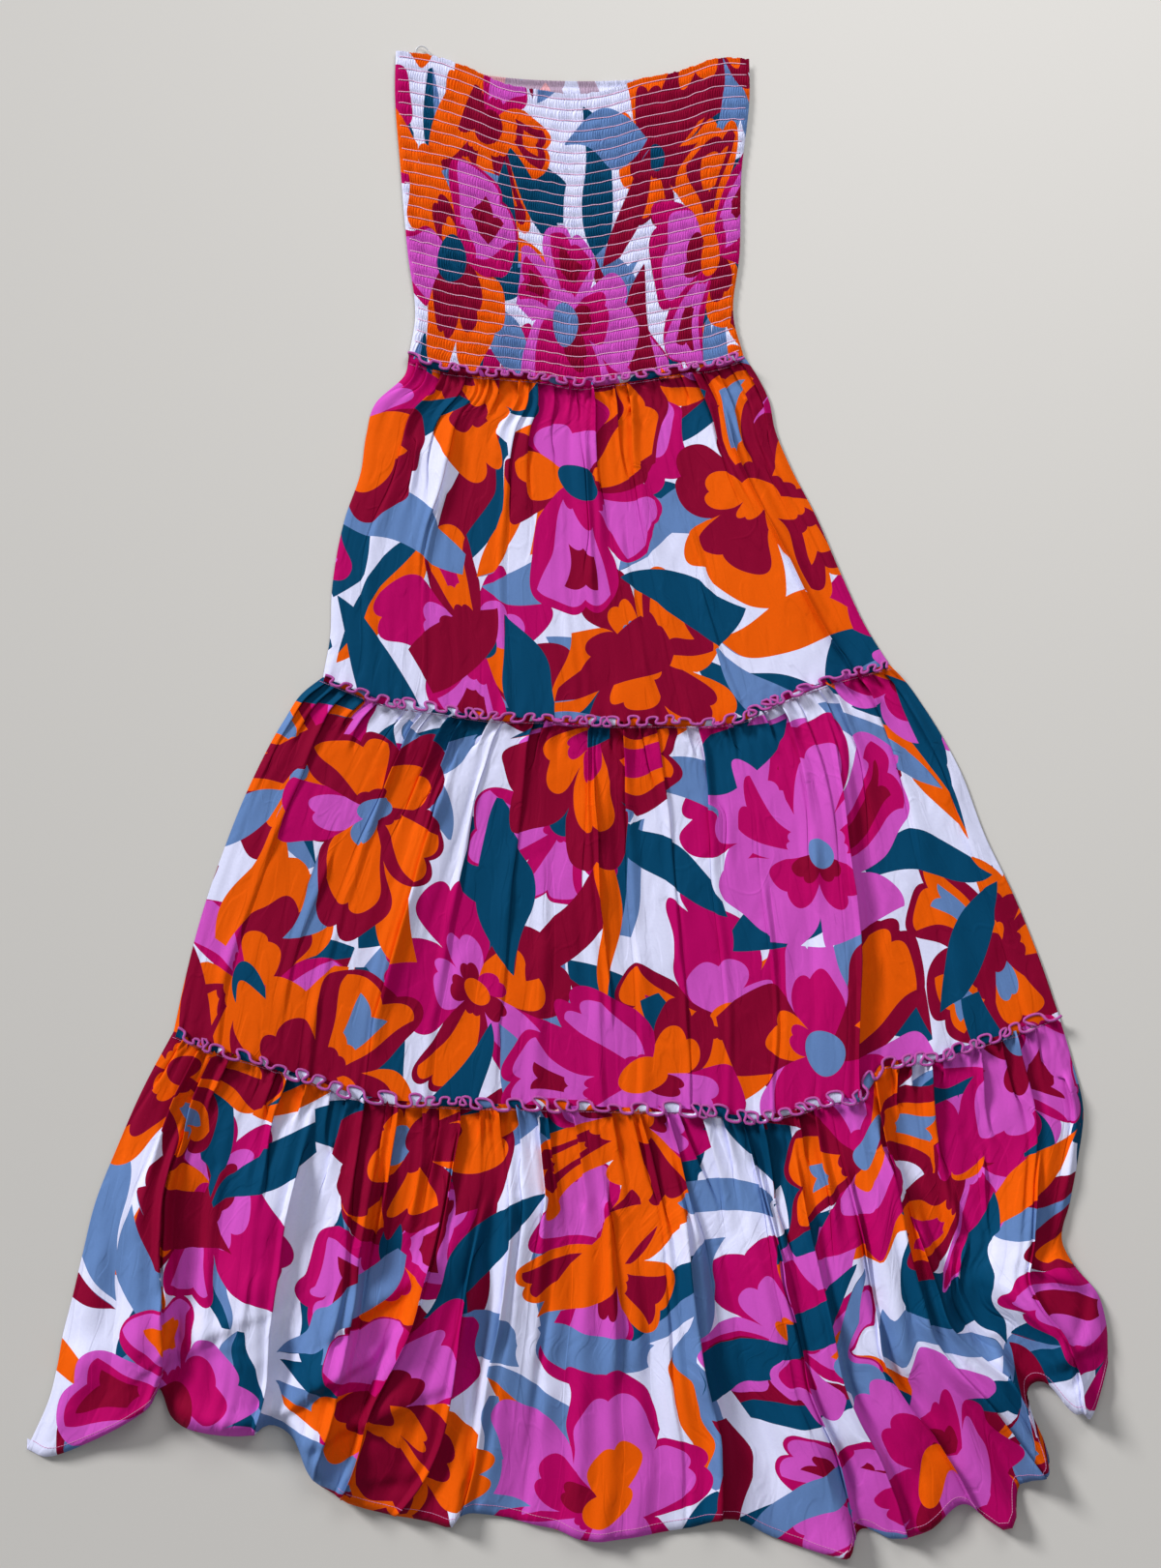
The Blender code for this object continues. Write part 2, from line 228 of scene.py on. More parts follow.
def as_piece(sheet, name, material, face_down=False):
    """Turn a bmesh into a smooth-shaded piece that rides on the dress's one body."""
    if face_down:
        bmesh.ops.reverse_faces(sheet, faces=sheet.faces)
    mesh = bpy.data.meshes.new(name)
    sheet.to_mesh(mesh)
    sheet.free()
    mesh.shade_smooth()
    mesh.materials.append(material)
    piece = in_scene(name, mesh)
    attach(piece, "root")
    return piece


def srgb(red, green, blue):
    """A colour of 0 to 255 a channel as linear RGBA."""
    shares = (red / 255, green / 255, blue / 255)
    return (*(c / 12.92 if c <= 0.04045 else ((c + 0.055) / 1.055) ** 2.4 for c in shares), 1.0)


MAGENTA = srgb(184, 0, 98)
ORCHID = srgb(206, 82, 192)
BURGUNDY = srgb(136, 0, 46)
ORANGE = srgb(236, 92, 0)
TEAL = srgb(0, 68, 104)
SLATE = srgb(98, 131, 185)
LILAC = srgb(224, 226, 255)
PETALS = 5.0
# The colour sets of petals, from the outside in: a petal takes its rim, middle and heart from one place.
RIMS = (ORCHID, MAGENTA, BURGUNDY, ORANGE, MAGENTA, BURGUNDY)
MIDDLES = (MAGENTA, ORCHID, ORANGE, BURGUNDY, ORCHID, ORANGE)
HEARTS = (BURGUNDY, ORANGE, SLATE, ORANGE, BURGUNDY, MAGENTA)
EYES = (ORANGE, SLATE, BURGUNDY, TEAL)
LEAVES = (TEAL, TEAL, TEAL, SLATE, SLATE, BURGUNDY, ORANGE)
WEAVE_TURNS = 9500.0         # radians of the threads' waves to a metre of cloth


def wired(tree, kind, inputs, output=0, **settings):
    """Add a shader node, set its options, feed its inputs and return one of its outputs."""
    node = tree.nodes.new("ShaderNode" + kind)
    for option, value in settings.items():
        setattr(node, option, value)
    feed(node, inputs)
    return node.outputs[output]


def maths(tree, operation, a, b=0.0, c=0.0):
    """Work out one number from others."""
    return wired(tree, "Math", {0: a, 1: b, 2: c}, operation=operation)


def vector_maths(tree, operation, *values, output=0):
    """Work out one vector, or its length, from others."""
    return wired(tree, "VectorMath", dict(enumerate(values)), output, operation=operation)


def parts_of(tree, kind, value):
    """The three channels of a colour (kind Color) or coordinates of a vector (kind XYZ)."""
    return wired(tree, "Separate" + kind, {0: value}).node.outputs


def noise(tree, place, scale, detail, output=0, **more):
    """Soft noise over the flat cloth."""
    return wired(tree, "TexNoise", {"Vector": place, "Scale": scale, "Detail": detail, **more}, output,
                 noise_dimensions='2D')


def mix_colour(tree, mask, under, colour):
    """The colour under, covered with another where the mask is 1."""
    return wired(tree, "Mix", {0: mask, 6: under, 7: colour}, output=2, data_type='RGBA')


def random_colour(tree, chance, colours):
    """One of some colours, picked by a number from 0 to 1."""
    node = tree.nodes.new("ShaderNodeValToRGB")
    tree.links.new(chance, node.inputs["Fac"])
    ramp = node.color_ramp
    ramp.interpolation = 'CONSTANT'
    ramp.elements[1].position = 1.0 / len(colours)
    for place, colour in enumerate(colours):
        stop = ramp.elements[place] if place < 2 else ramp.elements.new(place / len(colours))
        stop.color = colour
    return node.outputs["Color"]


def scattered(tree, place, shift, spacing, disorder):
    """Scatter motifs over the cloth: the way from the nearest one's middle, and its own three chances."""
    moved = vector_maths(tree, 'ADD', place, (*shift, 0.0))
    cell = wired(tree, "TexVoronoi", {"Vector": moved, "Scale": 1.0 / spacing, "Randomness": disorder},
                 voronoi_dimensions='2D').node
    away = vector_maths(tree, 'SUBTRACT', moved, cell.outputs["Position"])
    return away, parts_of(tree, "Color", cell.outputs["Color"])


def flowers(tree, place, ruffle, under, shift, spacing, radius):
    """Print a layer of five-petalled flowers over a colour, with bands of colour nested in each petal."""
    away, chance = scattered(tree, place, shift, spacing, 0.42)
    length = vector_maths(tree, 'LENGTH', away, output="Value")
    sides = parts_of(tree, "XYZ", away)
    angle = maths(tree, 'ARCTAN2', sides[1], sides[0])
    turned = maths(tree, 'MULTIPLY_ADD', angle, PETALS / math.tau, chance[0])
    turned = maths(tree, 'MULTIPLY_ADD', ruffle, 0.36, turned)
    turned = maths(tree, 'FLOORED_MODULO', turned, PETALS)
    petal = maths(tree, 'FLOOR', turned)
    inside = maths(tree, 'FRACT', turned)
    side = maths(tree, 'ABSOLUTE', maths(tree, 'MULTIPLY_ADD', inside, 2.0, -1.0))
    petal_key = maths(tree, 'MULTIPLY_ADD', chance[1], 17.0, petal)
    petal_chance = wired(tree, "TexWhiteNoise", {"W": petal_key}, output="Color", noise_dimensions='1D')
    petal_chance = parts_of(tree, "Color", petal_chance)

    # a petal's outline: rounded, with a notch in its tip
    outline = maths(tree, 'MULTIPLY_ADD', maths(tree, 'POWER', side, 2.6), -0.46, 1.0)
    notch = maths(tree, 'POWER', maths(tree, 'SUBTRACT', 1.0, side), 5.0)
    outline = maths(tree, 'MULTIPLY_ADD', notch, -0.13, outline)
    reach = maths(tree, 'MULTIPLY_ADD', petal_chance[0], 0.26 * radius, 0.86 * radius)
    share = maths(tree, 'DIVIDE', length, maths(tree, 'MULTIPLY', reach, outline))
    share = maths(tree, 'MULTIPLY_ADD', ruffle, 0.20, share)

    # its bands: nested around the flower's middle, or around an island of the petal's own
    island = maths(tree, 'ABSOLUTE', maths(tree, 'MULTIPLY_ADD', share, 2.1, -1.28))
    island = maths(tree, 'MAXIMUM', island, maths(tree, 'MULTIPLY', side, 1.2))
    has_island = maths(tree, 'GREATER_THAN', petal_chance[1], 0.6)
    band = wired(tree, "Mix", {0: has_island, 2: share, 3: island})
    band_edge = maths(tree, 'MULTIPLY_ADD', petal_chance[2], 0.24, 0.54)
    other_set = maths(tree, 'MULTIPLY', maths(tree, 'GREATER_THAN', petal_chance[2], 0.55), 1.0 / len(RIMS))
    colour_set = maths(tree, 'FRACT', maths(tree, 'ADD', chance[1], other_set))
    rim, middle, heart = (random_colour(tree, colour_set, colours) for colours in (RIMS, MIDDLES, HEARTS))
    eye = random_colour(tree, chance[2], EYES)
    colour = mix_colour(tree, maths(tree, 'LESS_THAN', band, band_edge), rim, middle)
    has_heart = maths(tree, 'GREATER_THAN', petal_chance[0], 0.42)
    inner_edge = maths(tree, 'MULTIPLY_ADD', has_heart, 0.46, -0.12)
    colour = mix_colour(tree, maths(tree, 'LESS_THAN', band, inner_edge), colour, heart)
    eye_reach = maths(tree, 'MULTIPLY_ADD', ruffle, 0.008, 0.15 * radius)
    colour = mix_colour(tree, maths(tree, 'LESS_THAN', length, eye_reach), colour, eye)
    return mix_colour(tree, maths(tree, 'LESS_THAN', share, 1.0), under, colour)


def leaves(tree, place, under, shift, spacing, long, wide, apart):
    """Print a layer of pointed leaves over a colour, each in two tones or split into a pair."""
    away, chance = scattered(tree, place, shift, spacing, 0.6)
    angle = maths(tree, 'MULTIPLY', chance[0], math.tau)
    turned = wired(tree, "VectorRotate", {"Vector": away, "Angle": angle}, rotation_type='Z_AXIS')
    sides = parts_of(tree, "XYZ", turned)
    spread = maths(tree, 'MULTIPLY_ADD', sides[0], 0.5 * apart, apart * (wide + 0.25 * long))
    off_rib = maths(tree, 'ABSOLUTE', maths(tree, 'SUBTRACT', maths(tree, 'ABSOLUTE', sides[1]), spread))
    along = maths(tree, 'DIVIDE', sides[0], long)
    breadth = maths(tree, 'MULTIPLY_ADD', maths(tree, 'MULTIPLY', along, along), -wide, wide)
    mask = maths(tree, 'LESS_THAN', off_rib, breadth)
    second = maths(tree, 'MULTIPLY', maths(tree, 'GREATER_THAN', sides[1], 0.004), 0.34)
    picked = maths(tree, 'FRACT', maths(tree, 'ADD', chance[1], second))
    return mix_colour(tree, mask, under, random_colour(tree, picked, LEAVES))


def printed_viscose():
    """Plain-woven viscose with an all-over print of large flowers and leaves, in the cloth's own sizes."""
    material, shader = new_material("printed_viscose")
    tree = material.node_tree
    flat = wired(tree, "UVMap", {}, uv_map="cloth")

    # the print, on cloth that drifts a little so that no motif is regular, and paler on its wrong side
    drift = noise(tree, flat, 9.0, 0.0, output="Color")
    drift = vector_maths(tree, 'MULTIPLY_ADD', drift, (0.05, 0.05, 0.0), (-0.025, -0.025, 0.0))
    place = vector_maths(tree, 'ADD', flat, drift)
    ruffle = maths(tree, 'SUBTRACT', noise(tree, flat, 16.0, 0.0), 0.5)
    colour = leaves(tree, place, LILAC, (0.31, 0.72), 0.125, 0.076, 0.026, 0.0)
    colour = flowers(tree, place, ruffle, colour, (0.13, 0.57), 0.236, 0.099)
    colour = leaves(tree, place, colour, (3.27, 1.18), 0.150, 0.072, 0.022, 1.0)
    colour = flowers(tree, place, ruffle, colour, (5.21, 2.42), 0.272, 0.114)
    wear = wired(tree, "TexNoise", {"Vector": flat, "Scale": 420.0, "Detail": 2.0})
    wear = maths(tree, 'MULTIPLY_ADD', wear, 0.10, 0.95)
    colour = wired(tree, "VectorMath", {0: colour, "Scale": wear}, operation='SCALE')
    wrong_side = maths(tree, 'MULTIPLY', wired(tree, "NewGeometry", {}, output="Backfacing"), 0.45)
    colour = mix_colour(tree, wrong_side, colour, LILAC)

    # the relief: the weave's threads, creases with sharper ridges in patches, and small upright wrinkles
    threads = vector_maths(tree, 'MULTIPLY', flat, (WEAVE_TURNS, WEAVE_TURNS, 0.0))
    threads = parts_of(tree, "XYZ", vector_maths(tree, 'SINE', threads))
    weave = maths(tree, 'MULTIPLY', threads[0], threads[1])
    upright = vector_maths(tree, 'MULTIPLY', flat, (20.0, 8.0, 0.0))
    creases = noise(tree, upright, 1.0, 1.5, Roughness=0.4, Distortion=0.9)
    ridge = maths(tree, 'ABSOLUTE', maths(tree, 'SUBTRACT', creases, 0.5))
    ridge = wired(tree, "MapRange", {"Value": ridge, "From Max": 0.030, "To Min": 1.0, "To Max": 0.0},
                  interpolation_type='SMOOTHSTEP')
    patches = noise(tree, flat, 15.0, 0.0)
    patches = wired(tree, "MapRange", {"Value": patches, "From Min": 0.44, "From Max": 0.62})
    relief = maths(tree, 'MULTIPLY_ADD', creases, 34.0, weave)
    relief = maths(tree, 'MULTIPLY_ADD', maths(tree, 'MULTIPLY', ridge, patches), 6.0, relief)
    upright = vector_maths(tree, 'MULTIPLY', flat, (70.0, 21.0, 0.0))
    wrinkles = noise(tree, upright, 1.0, 1.0, Distortion=0.7)
    wrinkles = wired(tree, "MapRange", {"Value": wrinkles, "From Min": 0.36, "From Max": 0.54},
                     interpolation_type='SMOOTHSTEP')
    relief = maths(tree, 'MULTIPLY_ADD', wrinkles, 10.0, relief)
    bump = wired(tree, "Bump", {"Height": relief, "Strength": 0.8, "Distance": 0.00004})
    feed(shader, {"Base Color": colour, "Normal": bump, "Roughness": 0.74, "Specular IOR Level": 0.07})
    return material


viscose = printed_viscose()


def shirring(s, t):
    """How far a point stands up between the rows of elastic (0 to 1), and its place in its pucker."""
    puff = np.abs(np.sin(math.pi * (ELASTIC_ROWS * t + 0.5))) ** 0.7
    slant = 0.75 * soft_noise(s * 34.0, t * ELASTIC_ROWS * 0.55, 3) + 0.40 * soft_noise(s * 80.0, t * 44.0, 4)
    bow = 0.55 * np.abs(np.sin(math.pi * (ELASTIC_ROWS * t + 0.5)))
    return puff, math.tau * (PUCKERS * s + slant + bow)


def bodice_front_z(s, t, rise):
    """The height of the shirred front: puffs between the rows of elastic, and puckers on them."""
    puff, pucker = shirring(s, t)
    deep = PUCKER_TALL * (0.85 + 0.40 * soft_noise(s * 44.0, t * 33.0, 5))
    z = GROOVE_Z + PUFF_TALL * puff + deep * (0.45 + 0.55 * puff) * 0.5 * np.cos(pucker)
    return z + BODICE_SWELL * soft_noise(s * 3.0, t * 4.0, 6) + rise * t * t


front_s, front_t = np.meshgrid(np.linspace(0, 1, PUCKERS * 4 + 1), np.linspace(0, 1, ELASTIC_ROWS * 6 + 1))
x, y, rise = panel_points(NECK, WAIST, BODICE_SIDES, front_s, front_t)
z = bodice_front_z(front_s, front_t, rise)
width = x[:, -1:] - x[:, :1]
z = edge_drop(z, np.minimum(front_s, 1 - front_s) * width, SIDE_ROUND, SIDE_LOW)
y = y + 0.6 * soft_noise(front_s * 90.0, front_t * 2.0, 7) * (1 - smooth(front_t * 40.0))
bodice_front = as_piece(
    cloth_grid(x, y, z, front_s * BODICE_CUT[0], -front_t * BODICE_CUT[1]),
    "bodice_front_cloth", viscose)
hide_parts("bodice_front")


# ---- Bodice back ----
# The same shirred cloth behind the front. It rises a little above the dip of the front's neckline,
# where the wrong side of the print shows, and its own right side lies on the floor.

BACK_NECK = [
    (0.0, -149, 655, 0), (0.25, -72, 638, 0), (0.5, 5, 633, 0), (0.75, 82, 636, 0), (1.0, 157, 648, 0)]
EDGE_INSET = 4.0             # a back's side edges stay this far inside the front's
BACK_BASE = 0.5
PRINT_SHIFT = (0.93, 0.4)    # metres of cloth from the front's part of the print to the back's

back_s, back_t = np.meshgrid(np.linspace(0, 1, PUCKERS * 3 + 1), np.linspace(0, 1, ELASTIC_ROWS * 4 + 1))
x, y, rise = panel_points(BACK_NECK, WAIST, BODICE_SIDES, back_s, back_t)
x = x + EDGE_INSET * (1 - 2 * back_s)
puff, pucker = shirring(back_s + 0.37, back_t)
z = BACK_BASE + 0.9 * puff + 0.85 * (0.5 + 0.5 * puff) * (1 + np.cos(pucker))
z = edge_drop(z, np.minimum(back_s, 1 - back_s) * 290.0, 6.0, 0.6)
sheet = cloth_grid(x, y, z, back_s * BODICE_CUT[0] + PRINT_SHIFT[0], -back_t * BODICE_CUT[1] + PRINT_SHIFT[1])
bodice_back = as_piece(sheet, "bodice_back_cloth", viscose, face_down=True)
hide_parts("bodice_back")


# ---- Elastic threads ----
# Pale pink elastic thread, sewn in 27 straight rows across the front of the bodice.
# The rows lie in the grooves and hold the puckers down between them.

THREAD_RADIUS = 0.42
THREAD_UP = 0.56             # the thread's middle over the bottom of its groove


def tube(paths, radius, around, name, material):
    """Sweep a round thread along paths, given in mm as arrays of points by 3, and close its ends."""
    whole = bmesh.new()
    for path in paths:
        ahead = np.gradient(path, axis=0)
        ahead /= np.linalg.norm(ahead, axis=1, keepdims=True)
        across = np.cross(ahead, (0.0, 0.0, 1.0))
        across /= np.linalg.norm(across, axis=1, keepdims=True)
        upward = np.cross(across, ahead)
        turn = -np.linspace(0, math.tau, around + 1)[:, None, None]
        ring = path[None] + radius * (np.cos(turn) * across[None] + np.sin(turn) * upward[None])
        flat_x, flat_y = np.meshgrid(distances(path) * MM, np.linspace(0, 1, around + 1))
        part = cloth_grid(ring[..., 0], ring[..., 1], ring[..., 2], flat_x, flat_y)
        bmesh.ops.remove_doubles(part, verts=part.verts, dist=1e-7)
        bmesh.ops.holes_fill(part, edges=[edge for edge in part.edges if edge.is_boundary], sides=0)
        bmesh.ops.recalc_face_normals(part, faces=part.faces)
        mesh = bpy.data.meshes.new("thread_part")
        part.to_mesh(mesh)
        part.free()
        whole.from_mesh(mesh)
        bpy.data.meshes.remove(mesh)
    return as_piece(whole, name, material)


def thread_material(name, colour, pitch, rough):
    """Twisted thread: slanting ridges along the thread, painted shade darkening the grooves between them, and
    a slight random change of tone.
    """
    material, shader = new_material(name)
    tree = material.node_tree
    flat = wired(tree, "UVMap", {}, uv_map="cloth")
    slanted = vector_maths(tree, 'DOT_PRODUCT', flat, (1.0 / pitch, 1.0, 0.0), output="Value")
    ridges = maths(tree, 'SINE', maths(tree, 'MULTIPLY', slanted, math.tau))
    dark = (*(0.62 * channel for channel in colour[:3]), 1.0)
    # painted shade: the colour goes darker in the grooves between the ridges, on top of a random change of
    # tone
    groove_shade_and_tone = maths(tree, 'MULTIPLY_ADD', ridges, 0.22, noise(tree, flat, 160.0, 2.0))
    tint = mix_colour(tree, groove_shade_and_tone, dark, colour)
    bump = wired(tree, "Bump", {"Height": ridges, "Strength": 0.6, "Distance": 0.0002})
    feed(shader, {"Base Color": tint, "Normal": bump, "Roughness": rough, "Sheen Weight": 0.2})
    return material


elastic = thread_material("pale_elastic_thread", srgb(255, 196, 230), 0.0024, 0.6)
rows_of_thread = []
for row in range(ELASTIC_ROWS):
    s = np.linspace(0.010, 0.990, 190)
    t = np.full_like(s, (row + 0.5) / ELASTIC_ROWS)
    t = t + 0.06 / ELASTIC_ROWS * soft_noise(s * 45.0, s * 0 + row, 8)
    x, y, rise = panel_points(NECK, WAIST, BODICE_SIDES, s, t)
    z = GROOVE_Z + BODICE_SWELL * soft_noise(s * 3.0, t * 4.0, 6) + rise * t * t
    z = z + THREAD_UP + 0.12 * soft_noise(s * 95.0, s * 0 + row, 9)
    z = edge_drop(z, np.minimum(s, 1 - s) * 300.0, SIDE_ROUND, SIDE_LOW + 0.2)
    rows_of_thread.append(np.stack([x, y, z], axis=1))
tube(rows_of_thread, THREAD_RADIUS, 4, "bodice_elastic_thread", elastic)


# ---- Upper tier front ----
# The first tier of the skirt, gathered into the waist seam. The gathers stand up at the seam and run
# out into a few long, soft folds, which the weight of the cloth lays over to one side.

UPPER_SEAM = [
    (0.0, -215, 110, 0), (0.05, -190, 100, 1), (0.1, -165, 90, 2), (0.2, -117, 82, 1), (0.3, -66, 75, 1),
    (0.4, -16, 74, 2), (0.5, 33, 71, 1), (0.6, 83, 71, 1), (0.7, 132, 71, 1), (0.75, 156, 76, 2),
    (0.8, 182, 89, 3), (0.9, 232, 108, 2), (1.0, 282, 121, 0)]
UPPER_SIDES = [
    (0, 0, 0), (0.05, 1, 3), (0.14, -18, 4), (0.24, -19, -3), (0.36, -15, -5), (0.5, -18, -3),
    (0.72, -13, -5), (0.88, -3, -5), (1, 0, 0)]
# A long fold starts and ends at an s and a t. It has a height, a reach to either side and cloth that it
# hides. The shorter reach is the side it has fallen over to.
LongFold = namedtuple("LongFold", "s_from t_from s_to t_to tall reach_left reach_right hidden")
UPPER_FOLDS = [
    (0.20, 0.02, 0.16, 0.55, 4.0, 16, 12, 4), (0.52, 0.02, 0.50, 0.60, 3.5, 12, 18, 4),
    (0.86, 0.05, 0.93, 0.95, 5.0, 30, 14, 8)]
NO_LEAN = [(0, 0), (0.5, 0), (1, 0)]
SKIRT_ROWS = 105
DOWN = np.linspace(0.0, 1.0, SKIRT_ROWS) ** 1.2      # each row's t, closer together at the gathered seam
FINE_S = np.linspace(0.0, 1.0, 481)                  # where the panel is measured
DOWN_BLUR = 61             # this many of those places share one direction of fall
LIP = (0.22, 0.48, 0.74, 1.0)                        # points down a fold's side, from its crest
FLAT = (0.0, 0.03, 0.08, 0.16, 0.35, 0.68)           # points across the cloth between two folds
TO_EDGE = (0.88, 0.95, 0.98, 1.0)                    # more of them, before the panel's right edge
FRONT_BASE = 3.2           # the flat front's height over the floor
LOWEST_FOLD = 1.5
CREST_APART = 3.2          # no two crests come closer than this
EDGE_CLEAR = 6.0           # nor closer than this to the panel's edge
EDGE_STEP = 1.5            # what each further crest needs beside that
SHARED_REACH = 30.0        # cloth to be hidden goes into the folds within this distance
HIDING_SPOTS = 241
LIP_BACK = 1.7             # how far a crisp fold's lip falls back under its crest
LIP_BULGE = 0.7
POCKET_DEEP = 2.1          # how far the cloth dips beside a fold that has fallen over it
CRISP_CLOTH = (0.8, 4.8)   # a fold that hides this much cloth starts to be crisp, and is fully so
LONG_FOLD_MORE = 1.35      # a long fold's crest, in heights of a gather
SWELL_APART = (34.0, 90.0)
CRINKLE_APART = (19.0, 60.0)
CRINKLE_TALL = 0.6
RUCHE_APART = 6.2          # the finest gathers, which only the seam holds
RUCHE_LONG = (27.0, 19.0)  # their length and how much it varies
RUCHE_TALL = (2.6, 1.2)    # their height and how much it varies
DRAWN_IN_TALL = 0.7        # ripples where the next seam draws the lower edge in
SEAM_STITCHES = 5.2        # the line of stitches that holds the gathers, below the tier's top edge
HEM_STITCHES = 9.0         # the hem's line of stitches, above the hem
STITCH_LONG = 2.6
STITCH_RADIUS = 0.26
# The hem's cloth turned under, from its edge on: way up the panel, height, and cloth past the edge.
HEM_TURN = [(-0.5, -0.7, 1.0), (4.0, -0.8, 4.0), (9.0, -0.8, 9.0)]
HEM_ROUND = (7.0, 18.0)    # how soon the cloth comes down to a plain hem, and to a rolled one
ROLL_TALL = 3.5
seam_thread = thread_material("pink_sewing_thread", srgb(236, 150, 206), 0.0011, 0.6)


def row_by_row(at, known, values):
    """Values read at places along each row, from a line of known places and values for every row."""
    return np.stack([np.interp(*line) for line in zip(at, known, values)])


def measured_rows(on_panel):
    """How far points of a fine lattice lie across their rows, and how far down their columns, in mm."""
    x, y, _ = on_panel(*np.meshgrid(FINE_S, DOWN))
    down_x, down_y = np.gradient(x, DOWN, axis=0), np.gradient(y, DOWN, axis=0)
    for down in (down_x, down_y):
        for row in down:
            row[:] = blurred(row, DOWN_BLUR)
    step = np.abs(np.diff(x, axis=1) * down_y[:, 1:] - np.diff(y, axis=1) * down_x[:, 1:])
    step = step / np.hypot(down_x, down_y)[:, 1:]
    fall = np.hypot(np.diff(x, axis=0), np.diff(y, axis=0))
    return running_total(step, axis=1), running_total(fall)


def run_along(fold, t):
    """How far along a long fold a row lies, from 0 at the fold's start to 1 at its end."""
    return np.clip((t - fold.t_from) / (fold.t_to - fold.t_from), 0.0, 1.0)


def dies_out(fold, t):
    """1 along a long fold and 0 past its end, unless it runs on into the panel's lower edge."""
    return 1.0 if fold.t_to >= 1.0 else 1.0 - smooth((t - fold.t_to + 0.2) / 0.3)


def fold_middle(fold, across):
    """How far across each row a long fold's middle lies."""
    at = fold.s_from + (fold.s_to - fold.s_from) * run_along(fold, DOWN)
    return row_by_row(at[:, None], [FINE_S] * SKIRT_ROWS, across)


def fold_backs(folds, place_m, across):
    """The height that the long folds' broad backs add, with the highest fold counting at each point."""
    height = np.zeros_like(place_m)
    t = DOWN[:, None]
    for fold in folds:
        away = place_m - fold_middle(fold, across)
        reach = np.where(away < 0, fold.reach_left, fold.reach_right)
        profile = np.clip(1.0 - np.abs(away / reach) ** 2.2, 0.0, 1.0) ** 0.9
        strength = smooth(run_along(fold, t) / 0.35) * (1.0 - 0.60 * smooth((t - 0.68) / 0.32))
        height = np.maximum(height, fold.tall * profile * (strength * dies_out(fold, t)))
    return height


def drawn_crests(folds, gathers, across, deep, rng, seed):
    """The crests of gathers and long folds, in mm across each row, and what is known of each fold.

    That is the cloth which long folds hide, each gather's claim to the rest, the side it has fallen to
    (-1 or 1), and whether it is a long fold.
    """
    count = gathers + len(folds)
    long_folds = {fold.s_from: fold for fold in folds}
    spread = (np.arange(gathers) + 0.5 + rng.uniform(-0.3, 0.3, gathers)) / gathers
    label = np.sort(np.concatenate([spread, list(long_folds)]))
    is_long = np.isin(label, list(long_folds))
    strength = 0.35 + 1.5 * rng.uniform(0, 1, count) ** 2
    length = 14.0 + 60.0 * rng.uniform(0, 1, count) ** 1.5
    length = np.where(rng.uniform(0, 1, count) < 0.22, length + rng.uniform(50, 190, count), length)
    begins = np.where(rng.uniform(0, 1, count) < 0.20, rng.uniform(40, 200, count), -60.0)
    fallen = np.where(rng.uniform(0, 1, count) < 0.5, -1.0, 1.0)
    pull = rng.uniform(-0.8, 0.8, count)
    down, number = deep[:, None], np.arange(count)
    run = np.maximum(down - np.maximum(begins, 0.0)[None], 0.0)
    claim = strength[None] * np.exp(-(run / length[None]) ** 1.5) * smooth((down - begins) / 45.0) + 0.006
    claim[:, is_long] = 0.0

    anchors = [0.0, *(fold.s_from for fold in folds), 1.0]
    places = [np.zeros(SKIRT_ROWS), *(fold_middle(fold, across)[:, 0] for fold in folds), across[:, -1]]
    crest = np.stack([np.interp(label, anchors, row) for row in np.stack(places, axis=1)])
    sway = [3.4 * soft_noise(deep / 95.0 + 9.1 * k, deep * 0 + k, seed)
            + 0.7 * soft_noise(deep / 30.0 + 4.7 * k, deep * 0 + k, seed + 5) for k in range(count)]
    crest = crest + (np.stack(sway, axis=1) + pull[None] * 7.0 * ~is_long) * smooth(down / 90.0)
    crest = np.maximum.accumulate(crest - CREST_APART * number, axis=1) + CREST_APART * number
    crest = np.clip(crest, EDGE_CLEAR + EDGE_STEP * number,
                    across[:, -1:] - EDGE_CLEAR - EDGE_STEP * number[::-1])
    hidden = np.zeros((SKIRT_ROWS, count))
    for k in np.nonzero(is_long)[0]:
        fold = long_folds[label[k]]
        hidden[:, k] = fold.hidden * smooth(run_along(fold, DOWN) / 0.5) * dies_out(fold, DOWN)
        fallen[k] = 1.0 if fold.reach_right < fold.reach_left else -1.0
    return crest, hidden, claim, fallen, is_long


def share_out_cloth(hidden, claim, crest, cut_width, visible):
    """Add what else each row has to hide to the folds near each place, by their claims."""
    hidden = hidden.copy()
    for row, wide in enumerate(visible):
        spot = np.linspace(0.0, wide, HIDING_SPOTS)[:, None]
        near = np.exp(-((spot - crest[row]) / SHARED_REACH) ** 2) + 1e-9
        budget = (cut_width - wide) / HIDING_SPOTS - (near / near.sum(axis=0)) @ hidden[row]
        budget = np.maximum(budget, 0.0)
        total = max(cut_width - wide - hidden[row].sum(), 0.0)
        near = near * claim[row]
        hidden[row] += (budget * total / max(budget.sum(), 1e-6)) @ (near / near.sum(axis=1, keepdims=True))
    most = (cut_width - visible) / np.maximum(hidden.sum(axis=1), 1e-6)
    return hidden * most.clip(0.0, 1.0)[:, None]


